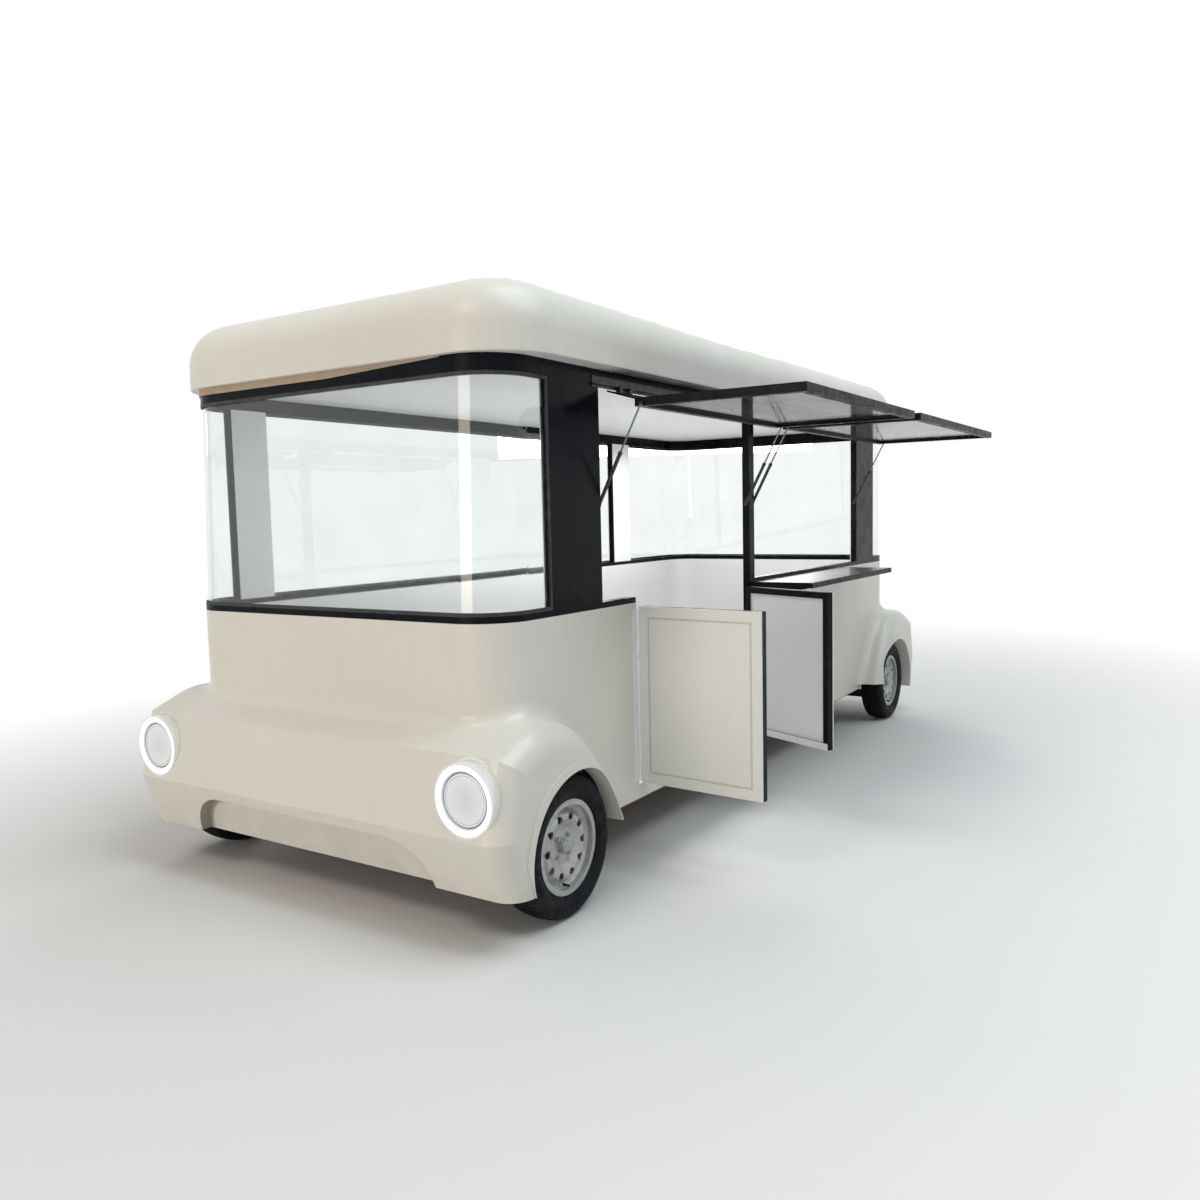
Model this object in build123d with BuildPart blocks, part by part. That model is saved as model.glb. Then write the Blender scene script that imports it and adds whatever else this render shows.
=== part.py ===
from build123d import *
import math
import os

os.makedirs("parts", exist_ok=True)

# Food cart with a bus-like body. Millimetres, +Z up, the nose looks along -Y and the
# service side is +X. The ground is Z = 0 and the axles stand evenly about Y = 0.
# The rest pose is the open one: hatches up, both door leaves swung out.

# Running gear
WHEELBASE = 4100.0
TYRE_R = 274.0
TYRE_W = 157.0
RIM_R = 181.0
RIM_W = 122.0
TREAD_HALF = 58.0
SHOULDER_R = 266.0
CARCASS_T = 11.0
GROOVE_PITCH = 27.0
TREAD_GROOVE_W = 6.0
TREAD_GROOVE_D = 7.0
BEAD_T = 12.0
FLANGE_T = 4.0
FLANGE_H = 15.0
RIM_T = 5.0
WELL_D = 33.0              # drop of the rim's well below its edge
WELL_HALF = 24.0
WELL_TOP = 38.0
HUB_FACE = 23.0            # mounting face, from the wheel's middle plane
DISC_T = 5.0
DISC_ROOT = 22.0
DISC_OUT = 47.0
DISC_SHOULDER = 9.0
DISC_BEND_R = 4.0
DISH_R = 72.0
HOLE_RING_R = 114.0
DISC_HOLES = 10
DISC_HOLE_R = 15.0
HUB_R = 29.0
DRUM_R = 100.0
DRUM_IN_X = -27.0
FLANGE_R = 68.0
FLANGE_W = 10.0
CAP_X = 43.0
CAP_END_X = 51.0
CAP_R = 24.0
CAP_ROUND = 5.0
CAP_AIR = 2.0
BOLTS = 4
BOLT_RING_R = 50.0
BOLT_R = 6.0
BOLT_L = 20.0
NUT_R = 10.0
NUT_T = 11.0
WHEEL_IN = 118.0           # middle plane of a wheel, inside the fender's flat side
KINGPIN_IN = 100.0         # king pin line, inside the wheel's middle plane
KINGPIN_R = 12.0
PIN_HEAD_R = 20.0
PIN_HEAD_T = 14.0
THRUST_GAP = 2.0
SLEEVE_R = 24.0
SLEEVE_RISE = 98.0         # top of the king pin sleeve above the wheel centre
SPINDLE_R = 15.0
SPINDLE_IN = 81.0
SPINDLE_OUT = 38.0
BEAM = 50.0                # square axle beam
BEAM_TOP_Z = 190.0
BEAM_WEB = 16.0
BEAM_FLANGE = 10.0
BEAM_SOLID = 60.0          # solid end of a beam, from the king pin line
BACK_PLATE_IN = 38.0
BACK_PLATE_T = 6.0
BACK_PLATE_R = 95.0
ARM = 130.0                # steering arm, from king pin to tie rod pin
ARM_W = 32.0
ARM_T = 12.0
TIE_PIN_R = 7.0
TIE_Z = 165.0
TIE_R = 8.0
TIE_EYE_R = 16.0
TIE_EYE_H = 20.0
TIE_HEAD_R = 11.0
TIE_HEAD_T = 6.0
TIE_END_GAP = 2.0
UPRIGHT_T = 16.0           # plate that carries a rear spindle
UPRIGHT_HALF = 40.0
SPRING_X = 420.0
SPRING_W = 44.0
LEAF_T = 6.0
LEAF_STEP = 58.0
LEAVES = 4
EYE_RISE = 32.0            # spring eye above the beam
EYE_R = 14.0
EYE_PIN_R = 6.0
CLAMP_HALF_X = 40.0
CLAMP_HALF_Y = 45.0
CLAMP_T = 8.0
CLAMP_STUD_R = 5.0
CLAMP_STUD_X = 30.0
CLAMP_STUD_Y = 33.0
RUN_GAP = 0.05             # radial clearance of a turning pin
MOVE_GAP = 0.3             # free space between pieces that move past each other

# Body shell
BODY_HALF_W = 888.0
BODY_HALF_L = 2312.0
BODY_CORNER_R = 200.0
WALL_T = 40.0
BUMPER_Z = 190.0
SKIRT_Z = 266.0
SILL_Z = 1135.0
DECK_Z = 336.0
DECK_T = 18.0
REAR_SEAM = 1560.0
OVERCUT = 10.0             # cutting shapes reach this far past what they cut

# Nose and fender pod, drawn in side view as lines and arcs
POD_OUT = 162.0            # flat side of the fenders, outside the wall
POD_ROLL = 95.0            # rounding of the pod's outer side
ROLL_STEPS = 5
POD_COVE = 66.0            # hollow curve between pod and wall
CROWN_Y = -2190.0
CROWN_Z = 424.0
CROWN_R = 350.0
HOOD_ANGLE = 22.0
FALL_ANGLE = -44.0
CREASE_Y = -2452.0
NOSE_Y = -2520.0
NOSE_Z = 412.0
LIP_Y = -2445.0
TAIL_Y = -1628.0
TAIL_LOW_Z = 300.0         # the fender stops here behind the wheel, and its liner all round
NOSE_SKIN = 40.0
RECESS_DEPTH = 44.0
RECESS_BACK = 30.0
RECESS_LOW = 680.0
RECESS_HIGH = 640.0
RECESS_TOP_Z = 365.0
RECESS_CORNER_R = 200.0
ARCH_R = 305.0
ARCH_LIP_W = 34.0
ARCH_LIP_H = 6.0
LINER_R = 325.0
LINER_T = 7.0
LINER_IN = 242.0

# Lamps
LAMP_IN = 173.0
LAMP_Z = 554.0
LAMP_R = 132.0
RING_R = 119.0
LENS_R = 100.0
LAMP_FRONT_Y = 2510.0
LAMP_BACK_Y = 2420.0
LAMP_SINK = 27.0           # lamp seat behind the bezel's rim
LAMP_SEAT_T = 10.0
RING_SINK = 4.0
LENS_SINK = 10.0
TAIL_SINK = 8.0
RING_ROUND = 5.0
LENS_ROUND = 8.0

# Window band and roof
EAVE_Z = 2103.0
RAKE = 30.0                # the band's ends draw in this far towards the roof
FRAME_T = 40.0
SILL_RAIL = 25.0
HEADER = 63.0
PILLAR_IN = 1616.0
PILLAR_OUT = 1966.0
FAR_FRONT_OUT = -2054.0
FAR_FRONT_IN = -1862.0
FAR_REAR_IN = 1260.0
FAR_REAR_OUT = 1492.0
LINING_T = 4.0
GLASS_T = 6.0
GLASS_SET = 10.0
ROOF_OVER_SIDE = 84.0      # overhang past the walls
ROOF_OVER_END = 28.0       # overhang past the top of the window band
ROOF_CORNER_R = 285.0
ROOF_TOP_Z = 2390.0
ROOF_EDGE_R = 190.0
ROOF_SKIN = 12.0
CEILING_T = 6.0

# Half-height double door
DOOR_FRONT_Y = -1350.0
DOOR_REAR_Y = -150.0
POST_W = 60.0
DOOR_GAP = 3.0
LEAF_LOW_Z = 340.0
LEAF_TOP_Z = 1118.0
THRESHOLD_GAP = 10.0
HINGE_OUT = 6.0            # hinge pin stands this far outside the wall face
KNUCKLE_R = 5.0
HINGE_PIN_R = 2.5
HINGE_PLATE = 34.0
HINGE_PLATE_T = 2.0
HINGE_END = 8.0            # hinge stops this far short of the leaf's ends
HINGE_ROOT = 8.0           # knuckles are rolled from the plate's edge over this length
HINGE_ROOT_T = 3.0
KNUCKLES = 9
GROOVE_IN = 45.0
GROOVE_W = 8.0
GROOVE_D = 2.5
LINING_SINK = 10.0
DOOR_TUBE = 32.0
DOOR_DEPTH = 34.0
DOOR_SKIN = 6.0
FRONT_LEAF_OPEN = -94.0
REAR_LEAF_OPEN = 66.0

# Flip-up hatches and their gas struts
HATCH_PIN_OUT = 17.0
HATCH_Z = 2020.0
HATCH_IN = 139.0
HATCH_OUT = 857.0
HATCH_DROP = 75.0
HATCH_TUBE = 35.0
HATCH_SIDE_GAP = 25.0
BARREL_R = 6.0
BARREL_L = 60.0
HATCH_PIN_R = 3.0
HATCH_LEAF_T = 4.0         # tongue that joins a hinge barrel to the strip
PANE_LIFT = 13.0
STRIP_T = 6.0
STRIP_GAP = 2.0
STRIP_LAP = 2.0
CHEEK_L = 18.0
CHEEK_GAP = 2.0
PIN_END_GAP = 0.5
HINGE_INSET = 160.0        # outer hinges from the ends of a hatch
RAIL_OVER = 50.0
RAIL_DROP = 10.0
RAIL_RISE = 35.0
GUTTER = 15.0
GUTTER_T = 4.0
STRUT_IN = 16.0
STRUT_LOW_Z = 1558.0
STRUT_TOP = (175.0, -65.0)  # from the hatch hinge, hatch open
STRUT_PLANE = 12.0         # strut axis, from the face of jamb or post
CYL_R = 8.0
CYL_L = 235.0
ROD_R = 4.0
ROD_L = 240.0
STUD_R = 4.0
STUD_END = 2.0
STUD_FLANGE_T = 4.0
EYE_HALF = 5.0
EYE_OUT_R = 9.0
BORE_FLOOR = 20.0          # closed end of the cylinder, from its eye
STUB_R = 5.0

# Counter
COUNTER_REACH = 345.0
COUNTER_FRONT_Y = -130.0
COUNTER_REAR_Y = 1260.0
COUNTER_TOP_Z = 1140.0
COUNTER_H = 28.0
COUNTER_SHEET = 3.0
TRIM_T = 14.0
BRACKET_INSET = 250.0
BRACKET_DROP = 60.0
BRACKET_TIP = 40.0
BRACKET_T = 6.0
BRACKET_W = 44.0

# Chassis
RAIL_W = 50.0
RAIL_H = 80.0
SIDE_RAIL_GAP = 2.0
TUBE_T = 4.0
CROSS_W = 50.0
CROSS_LIFT = 20.0          # cross members stop this far above the rails' undersides
CROSS_ROWS = 6
CROSS_END = 40.0
RAIL_END = 2240.0
SIDE_RAIL_END = 1690.0
HORN_END = 2345.0
HANGER_T = 5.0
HANGER_HALF = 20.0
HANGER_GAP = 1.0
HITCH_Y = -2190.0
HITCH_DX = 100.0
HITCH_DY = 80.0
HITCH_R = 6.5
PLATE_W = 200.0
PLATE_L = 130.0
PLATE_DROP = 2.0
SHELL_GAP = 2.0            # horns and hangers stay this far below the shells

POD_HALF_W = BODY_HALF_W + POD_OUT
ROOF_HALF_W = BODY_HALF_W + ROOF_OVER_SIDE
ROOF_HALF_L = BODY_HALF_L - RAKE + ROOF_OVER_END
WHEEL_X = POD_HALF_W - WHEEL_IN
KINGPIN_X = WHEEL_X - KINGPIN_IN
SPINDLE_ROOT_X = WHEEL_X - SPINDLE_IN
SPINDLE_END_X = WHEEL_X + SPINDLE_OUT
BACK_PLATE_X = WHEEL_X - BACK_PLATE_IN
LINER_IN_X = WHEEL_X - LINER_IN
ROLL_X = POD_HALF_W - POD_ROLL
LAMP_X = POD_HALF_W - LAMP_IN
HATCH_X = BODY_HALF_W + HATCH_PIN_OUT
STRUT_LOW_X = BODY_HALF_W - STRUT_IN
COUNTER_OUT_X = BODY_HALF_W + COUNTER_REACH
SIDE_RAIL_X = BODY_HALF_W - WALL_T - SIDE_RAIL_GAP - RAIL_W / 2
AXLE_Y = WHEELBASE / 2
AXLE_Z = TYRE_R
DECK_BOTTOM_Z = DECK_Z - DECK_T
BEAM_LOW_Z = BEAM_TOP_Z - BEAM


def unit(angle):
    return math.cos(math.radians(angle)), math.sin(math.radians(angle))


def meet(p, u, q, v):
    """Point where the line through p along u crosses the line through q along v."""
    det = u[0] * v[1] - u[1] * v[0]
    t = ((q[0] - p[0]) * v[1] - (q[1] - p[1]) * v[0]) / det
    return p[0] + t * u[0], p[1] + t * u[1]


def pod_points(inset):
    """Corners and arc points of the pod's side view, pulled in by inset all round."""
    hood = unit(HOOD_ANGLE)
    fall = unit(FALL_ANGLE)
    r = CROWN_R - inset
    start = (CROWN_Y - r * hood[1], CROWN_Z + r * hood[0])
    top = (CROWN_Y, CROWN_Z + r)
    end = (CROWN_Y - r * fall[1], CROWN_Z + r * fall[0])
    full = (CROWN_Y - CROWN_R * fall[1], CROWN_Z + CROWN_R * fall[0])
    chord = (TAIL_Y - full[0], BUMPER_Z - full[1])
    turn = math.atan2(chord[1], chord[0]) - math.radians(FALL_ANGLE)
    tail_r = math.hypot(*chord) / (2 * abs(math.sin(turn)))
    centre = (full[0] + tail_r * fall[1], full[1] - tail_r * fall[0])
    reach = math.sqrt((tail_r - inset) ** 2 - (BUMPER_Z - centre[1]) ** 2)
    tail = (centre[0] + reach, BUMPER_Z)
    low = math.atan2(tail[1] - centre[1], tail[0] - centre[0])
    half = (math.radians(FALL_ANGLE) + math.pi / 2 + low) / 2
    bow = (
        centre[0] + (tail_r - inset) * math.cos(half),
        centre[1] + (tail_r - inset) * math.sin(half),
    )
    hood_end = (CROWN_Y - CROWN_R * hood[1], CROWN_Z + CROWN_R * hood[0])
    crease_full = meet(hood_end, hood, (CREASE_Y, 0), (0, 1))

    def face(p, q):
        length = math.hypot(q[0] - p[0], q[1] - p[1])
        u = ((q[0] - p[0]) / length, (q[1] - p[1]) / length)
        return (p[0] + inset * u[1], p[1] - inset * u[0]), u

    lower, lower_u = face((LIP_Y, BUMPER_Z), (NOSE_Y, NOSE_Z))
    upper, upper_u = face((NOSE_Y, NOSE_Z), crease_full)
    lip = meet(lower, lower_u, (0, BUMPER_Z), (1, 0))
    nose = meet(lower, lower_u, upper, upper_u)
    crease = meet(upper, upper_u, start, hood)
    return lip, nose, crease, start, top, end, bow, tail


def pod_face(x, inset):
    """Side view of the pod as a face on the plane X = x."""
    lip, nose, crease, start, top, end, bow, tail = pod_points(inset)
    with BuildSketch(Plane.YZ.offset(x)) as view:
        with BuildLine():
            Polyline(lip, nose, crease, start)
            ThreePointArc(start, top, end)
            ThreePointArc(end, bow, tail)
            Line(tail, lip)
        make_face()
    return view.sketch


def plan_block(inset, low, high):
    """Upright block on the body's plan outline, pulled in by inset."""
    with BuildPart() as block:
        with BuildSketch(Plane.XY.offset(low)):
            RectangleRounded(
                2 * (BODY_HALF_W - inset),
                2 * (BODY_HALF_L - inset),
                BODY_CORNER_R - inset,
            )
        extrude(amount=high - low)
    return block.part


def span_box(x, y, z, mode=Mode.ADD):
    """Box between the two values of each axis."""
    with Locations(((x[0] + x[1]) / 2, (y[0] + y[1]) / 2, (z[0] + z[1]) / 2)):
        Box(abs(x[1] - x[0]), abs(y[1] - y[0]), abs(z[1] - z[0]), mode=mode)


def rod_x(x, y, z, radius, mode=Mode.ADD):
    """Cylinder along X between the two values of x."""
    with Locations(Location(((x[0] + x[1]) / 2, y, z), (0, 90, 0))):
        Cylinder(radius, abs(x[1] - x[0]), mode=mode)


def rod_y(x, y, z, radius, mode=Mode.ADD):
    """Cylinder along Y between the two values of y."""
    with Locations(Location((x, (y[0] + y[1]) / 2, z), (90, 0, 0))):
        Cylinder(radius, abs(y[1] - y[0]), mode=mode)


def rod_z(x, y, z, radius, mode=Mode.ADD):
    """Cylinder along Z between the two values of z."""
    with Locations((x, y, (z[0] + z[1]) / 2)):
        Cylinder(radius, abs(z[1] - z[0]), mode=mode)


# Front shell: end wall, nose and both front fenders in one moulding.
# The pod's top meets the wall in a hollow curve and its outer sides roll over.
def on_wall(edge):
    """True for an edge of the pod that lies on the outer face of the wall."""
    box = edge.bounding_box()
    if box.max.Z > SILL_Z - WALL_T or box.max.Z < SKIRT_Z or box.size.length < POD_COVE:
        return False
    for t in (0.02, 0.5, 0.98):
        p = edge @ t
        x = abs(p.X) - (BODY_HALF_W - BODY_CORNER_R)
        y = -p.Y - (BODY_HALF_L - BODY_CORNER_R)
        off = math.hypot(max(x, 0), max(y, 0)) - BODY_CORNER_R
        if abs(off) > 0.5:
            return False
    return True


NOSE_LENGTH = CROWN_Y - NOSE_Y + OVERCUT
with BuildPart() as blank:
    add(plan_block(0, BUMPER_Z, SILL_Z))
    split(bisect_by=Plane.XZ.offset(-DOOR_FRONT_Y), keep=Keep.TOP)
    extrude(
        pod_face(-POD_HALF_W - POD_ROLL, 0),
        amount=2 * (POD_HALF_W + POD_ROLL),
        dir=(1, 0, 0),
    )
    fillet(blank.edges().filter_by(on_wall), POD_COVE)
    split(bisect_by=Plane.YZ.offset(ROLL_X), keep=Keep.BOTTOM)
    split(bisect_by=Plane.YZ.offset(-ROLL_X), keep=Keep.TOP)
    for side in (1, -1):
        slices = []
        for step in range(ROLL_STEPS + 1):
            turn = math.pi / 2 * step / ROLL_STEPS
            x = ROLL_X + POD_ROLL * math.sin(turn)
            slices.append(pod_face(side * x, POD_ROLL * (1 - math.cos(turn))))
        loft(slices)

with BuildPart() as recess:
    with BuildSketch(Plane.XZ.offset(-CROWN_Y)) as recess_view:
        with BuildLine():
            Polyline(
                (-RECESS_LOW, BUMPER_Z - OVERCUT),
                (-RECESS_HIGH, RECESS_TOP_Z),
                (RECESS_HIGH, RECESS_TOP_Z),
                (RECESS_LOW, BUMPER_Z - OVERCUT),
                close=True,
            )
        make_face()
        fillet(recess_view.vertices().sort_by(Axis.Y)[-2:], RECESS_CORNER_R)
    extrude(amount=NOSE_LENGTH)

with BuildPart() as recess_back:
    with BuildSketch(Plane.XZ.offset(-CROWN_Y)) as back_view:
        with Locations((0, (BUMPER_Z + RECESS_TOP_Z) / 2)):
            Rectangle(2 * (RECESS_LOW + RECESS_BACK), RECESS_TOP_Z - BUMPER_Z + 2 * RECESS_BACK)
    extrude(amount=NOSE_LENGTH)
    extrude(
        pod_face(-POD_HALF_W, RECESS_DEPTH + RECESS_BACK),
        amount=2 * POD_HALF_W,
        dir=(1, 0, 0),
        mode=Mode.SUBTRACT,
    )

with BuildPart() as nose_void:
    extrude(pod_face(NOSE_SKIN - ROLL_X, NOSE_SKIN), amount=2 * (ROLL_X - NOSE_SKIN), dir=(1, 0, 0))
    add(plan_block(0, BUMPER_Z - OVERCUT, SILL_Z), mode=Mode.SUBTRACT)
    add(recess_back.part, mode=Mode.SUBTRACT)

with BuildPart() as recess_cut:
    add(recess.part)
    extrude(
        pod_face(-POD_HALF_W, RECESS_DEPTH),
        amount=2 * POD_HALF_W,
        dir=(1, 0, 0),
        mode=Mode.SUBTRACT,
    )

with BuildPart() as arch_lips:
    for side in (1, -1):
        rise = (side * POD_HALF_W, side * (POD_HALF_W + ARCH_LIP_H))
        rod_x(rise, -AXLE_Y, AXLE_Z, ARCH_R + ARCH_LIP_W)

with BuildPart() as pod_flats:
    flat = pod_face(-POD_HALF_W - ARCH_LIP_H, POD_ROLL)
    extrude(flat, amount=2 * (POD_HALF_W + ARCH_LIP_H), dir=(1, 0, 0))

with BuildPart() as front_shell:
    add(arch_lips.part)
    add(pod_flats.part, mode=Mode.INTERSECT)
    add(blank.part)
    add(nose_void.part, mode=Mode.SUBTRACT)
    add(plan_block(WALL_T, BUMPER_Z - OVERCUT, SILL_Z + OVERCUT), mode=Mode.SUBTRACT)
    add(plan_block(0, BUMPER_Z - OVERCUT, SKIRT_Z), mode=Mode.SUBTRACT)
    add(recess_cut.part, mode=Mode.SUBTRACT)
    for side in (1, -1):
        rod_x((side * LINER_IN_X, side * ROLL_X), -AXLE_Y, AXLE_Z, LINER_R, Mode.SUBTRACT)
        lip_span = (side * ROLL_X, side * (POD_HALF_W + OVERCUT))
        rod_x(lip_span, -AXLE_Y, AXLE_Z, ARCH_R, Mode.SUBTRACT)
        lamp_span = (-LAMP_FRONT_Y - OVERCUT, -LAMP_BACK_Y)
        rod_y(side * LAMP_X, lamp_span, LAMP_Z, LAMP_R, Mode.SUBTRACT)
        span_box(
            (side * BODY_HALF_W, side * (POD_HALF_W + ARCH_LIP_H + OVERCUT)),
            (-AXLE_Y, TAIL_Y + 2 * POD_COVE),
            (BUMPER_Z - OVERCUT, TAIL_LOW_Z),
            Mode.SUBTRACT,
        )
front_shell.part.label = "front_shell"
export_step(front_shell.part, "parts/front_shell.step")

# Rear shell: the same moulding turned round, cut at the rear wall seam.
with BuildPart() as rear_shell:
    mirror(front_shell.part, about=Plane.XZ)
    split(bisect_by=Plane.XZ.offset(-REAR_SEAM), keep=Keep.BOTTOM)
rear_shell.part.label = "rear_shell"
export_step(rear_shell.part, "parts/rear_shell.step")

# Side walls below the window band, with the low threshold under the door.
WALL_IN_X = BODY_HALF_W - WALL_T
with BuildPart() as right_wall:
    span_box((WALL_IN_X, BODY_HALF_W), (DOOR_REAR_Y + POST_W, REAR_SEAM), (SKIRT_Z, SILL_Z))
    span_box((WALL_IN_X, BODY_HALF_W), (DOOR_FRONT_Y, DOOR_REAR_Y), (SKIRT_Z, LEAF_LOW_Z - THRESHOLD_GAP))
right_wall.part.label = "right_wall"
export_step(right_wall.part, "parts/right_wall.step")

with BuildPart() as left_wall:
    span_box((-BODY_HALF_W, -WALL_IN_X), (DOOR_FRONT_Y, REAR_SEAM), (SKIRT_Z, SILL_Z))
left_wall.part.label = "left_wall"
export_step(left_wall.part, "parts/left_wall.step")

# Floor deck between the walls, cut round the wheel houses.
with BuildPart() as floor_deck:
    add(plan_block(WALL_T, DECK_BOTTOM_Z, DECK_Z))
    for side in (1, -1):
        for end in (1, -1):
            house = (side * LINER_IN_X, side * BODY_HALF_W)
            rod_x(house, end * AXLE_Y, AXLE_Z, LINER_R, Mode.SUBTRACT)
floor_deck.part.label = "floor_deck"
export_step(floor_deck.part, "parts/floor_deck.step")

# Wheel houses: half barrels that close the cabin off from the wheels.
with BuildPart() as wheel_houses:
    for side in (1, -1):
        for end in (1, -1):
            rod_x((side * LINER_IN_X, side * ROLL_X), end * AXLE_Y, AXLE_Z, LINER_R)
            rod_x(
                (side * (LINER_IN_X + LINER_T), side * (ROLL_X + 1)),
                end * AXLE_Y,
                AXLE_Z,
                LINER_R - LINER_T,
                Mode.SUBTRACT,
            )
    span_box(
        (-POD_HALF_W, POD_HALF_W),
        (NOSE_Y, -NOSE_Y),
        (AXLE_Z - LINER_R - OVERCUT, TAIL_LOW_Z),
        Mode.SUBTRACT,
    )
wheel_houses.part.label = "wheel_houses"
export_step(wheel_houses.part, "parts/wheel_houses.step")


# Window band: one welded frame of sill rail, header, pillars and the door post.
def band(inset):
    """Solid on the window band's outline, which draws in towards the roof at both ends."""
    with BuildPart() as solid:
        with BuildSketch(Plane.XY.offset(SILL_Z)):
            RectangleRounded(
                2 * (BODY_HALF_W - inset),
                2 * (BODY_HALF_L - inset),
                BODY_CORNER_R - inset,
            )
        with BuildSketch(Plane.XY.offset(EAVE_Z)):
            RectangleRounded(
                2 * (BODY_HALF_W - inset),
                2 * (BODY_HALF_L - RAKE - inset),
                BODY_CORNER_R - inset,
            )
        loft(ruled=True)
    return solid.part


WINDOW_LOW = SILL_Z + SILL_RAIL
WINDOW_HIGH = EAVE_Z - HEADER
WINDOW_SPAN = (WINDOW_LOW, WINDOW_HIGH)
NEAR = (0, BODY_HALF_W + OVERCUT)
FAR = (-BODY_HALF_W - OVERCUT, 0)
BAND_END = BODY_HALF_L + OVERCUT
with BuildPart() as front_pane_space:
    span_box(NEAR, (-BAND_END, -PILLAR_OUT), WINDOW_SPAN)
    span_box(FAR, (-BAND_END, FAR_FRONT_OUT), WINDOW_SPAN)

with BuildPart() as rear_pane_space:
    span_box(NEAR, (PILLAR_OUT, BAND_END), WINDOW_SPAN)
    span_box(FAR, (FAR_REAR_OUT, BAND_END), WINDOW_SPAN)

with BuildPart() as upper_frame:
    add(band(0))
    add(band(FRAME_T), mode=Mode.SUBTRACT)
    add(front_pane_space.part, mode=Mode.SUBTRACT)
    add(rear_pane_space.part, mode=Mode.SUBTRACT)
    span_box(FAR, (FAR_FRONT_IN, FAR_REAR_IN), WINDOW_SPAN, Mode.SUBTRACT)
    span_box(NEAR, (-PILLAR_IN, DOOR_REAR_Y), WINDOW_SPAN, Mode.SUBTRACT)
    span_box(NEAR, (DOOR_REAR_Y + POST_W, PILLAR_IN), WINDOW_SPAN, Mode.SUBTRACT)
    span_box(NEAR, (DOOR_FRONT_Y, DOOR_REAR_Y), (SILL_Z - OVERCUT, WINDOW_HIGH), Mode.SUBTRACT)
    span_box((WALL_IN_X, BODY_HALF_W), (DOOR_REAR_Y, DOOR_REAR_Y + POST_W), (SKIRT_Z, SILL_Z))
upper_frame.part.label = "upper_frame"
export_step(upper_frame.part, "parts/upper_frame.step")

with BuildPart() as pillar_space:
    for end in (1, -1):
        span_box(NEAR, (end * PILLAR_IN, end * PILLAR_OUT), WINDOW_SPAN)
    span_box(FAR, (FAR_FRONT_OUT, FAR_FRONT_IN), WINDOW_SPAN)
    span_box(FAR, (FAR_REAR_IN, FAR_REAR_OUT), WINDOW_SPAN)

with BuildPart() as pillar_linings:
    add(band(FRAME_T))
    add(band(FRAME_T + LINING_T), mode=Mode.SUBTRACT)
    add(pillar_space.part, mode=Mode.INTERSECT)

# Glass: two wrap-round end panes and the long pane of the far side.
with BuildPart() as front_window:
    add(band(GLASS_SET))
    add(band(GLASS_SET + GLASS_T), mode=Mode.SUBTRACT)
    add(front_pane_space.part, mode=Mode.INTERSECT)
front_window.part.label = "front_window"
export_step(front_window.part, "parts/front_window.step")

with BuildPart() as rear_window:
    add(band(GLASS_SET))
    add(band(GLASS_SET + GLASS_T), mode=Mode.SUBTRACT)
    add(rear_pane_space.part, mode=Mode.INTERSECT)
rear_window.part.label = "rear_window"
export_step(rear_window.part, "parts/rear_window.step")

PANE_X = -BODY_HALF_W + GLASS_SET
with BuildPart() as left_window:
    span_box((PANE_X, PANE_X + GLASS_T), (FAR_FRONT_IN, FAR_REAR_IN), WINDOW_SPAN)
left_window.part.label = "left_window"
export_step(left_window.part, "parts/left_window.step")

# Roof: a hollow moulded cap, and the white linings: ceiling and soffit in one, and pillars.
with BuildPart() as roof_void:
    with BuildSketch(Plane.XY.offset(EAVE_Z)):
        RectangleRounded(
            2 * (ROOF_HALF_W - ROOF_SKIN),
            2 * (ROOF_HALF_L - ROOF_SKIN),
            ROOF_CORNER_R - ROOF_SKIN,
        )
    extrude(amount=ROOF_TOP_Z - ROOF_SKIN - EAVE_Z)
    fillet(roof_void.faces().sort_by(Axis.Z)[-1].edges(), ROOF_EDGE_R - ROOF_SKIN)

with BuildPart() as roof_cap:
    with BuildSketch(Plane.XY.offset(EAVE_Z)):
        RectangleRounded(2 * ROOF_HALF_W, 2 * ROOF_HALF_L, ROOF_CORNER_R)
    extrude(amount=ROOF_TOP_Z - EAVE_Z)
    fillet(roof_cap.faces().sort_by(Axis.Z)[-1].edges(), ROOF_EDGE_R)
    fillet(roof_cap.faces().sort_by(Axis.Z)[0].edges(), ROOF_SKIN / 2)
    add(roof_void.part, mode=Mode.SUBTRACT)
roof_cap.part.label = "roof_cap"
export_step(roof_cap.part, "parts/roof_cap.step")

with BuildPart() as linings:
    with BuildSketch(Plane.XY.offset(EAVE_Z)):
        RectangleRounded(
            2 * (ROOF_HALF_W - ROOF_SKIN),
            2 * (ROOF_HALF_L - ROOF_SKIN),
            ROOF_CORNER_R - ROOF_SKIN,
        )
    extrude(amount=CEILING_T)
    add(pillar_linings.part)
linings.part.label = "linings"
export_step(linings.part, "parts/linings.step")

# Lamps: a round bezel at each corner, light ring and lens in front, red lens behind.
LAMP_SEAT_Y = LAMP_FRONT_Y - LAMP_SINK
with BuildPart() as lamp_bezels:
    for side in (1, -1):
        for end in (1, -1):
            rod_y(side * LAMP_X, (end * LAMP_BACK_Y, end * LAMP_FRONT_Y), LAMP_Z, LAMP_R)
            rod_y(
                side * LAMP_X,
                (end * LAMP_SEAT_Y, end * (LAMP_FRONT_Y + OVERCUT)),
                LAMP_Z,
                RING_R,
                Mode.SUBTRACT,
            )
            rod_y(
                side * LAMP_X,
                (end * (LAMP_BACK_Y - OVERCUT), end * (LAMP_SEAT_Y - LAMP_SEAT_T)),
                LAMP_Z,
                RING_R,
                Mode.SUBTRACT,
            )
lamp_bezels.part.label = "lamp_bezels"
export_step(lamp_bezels.part, "parts/lamp_bezels.step")

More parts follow.
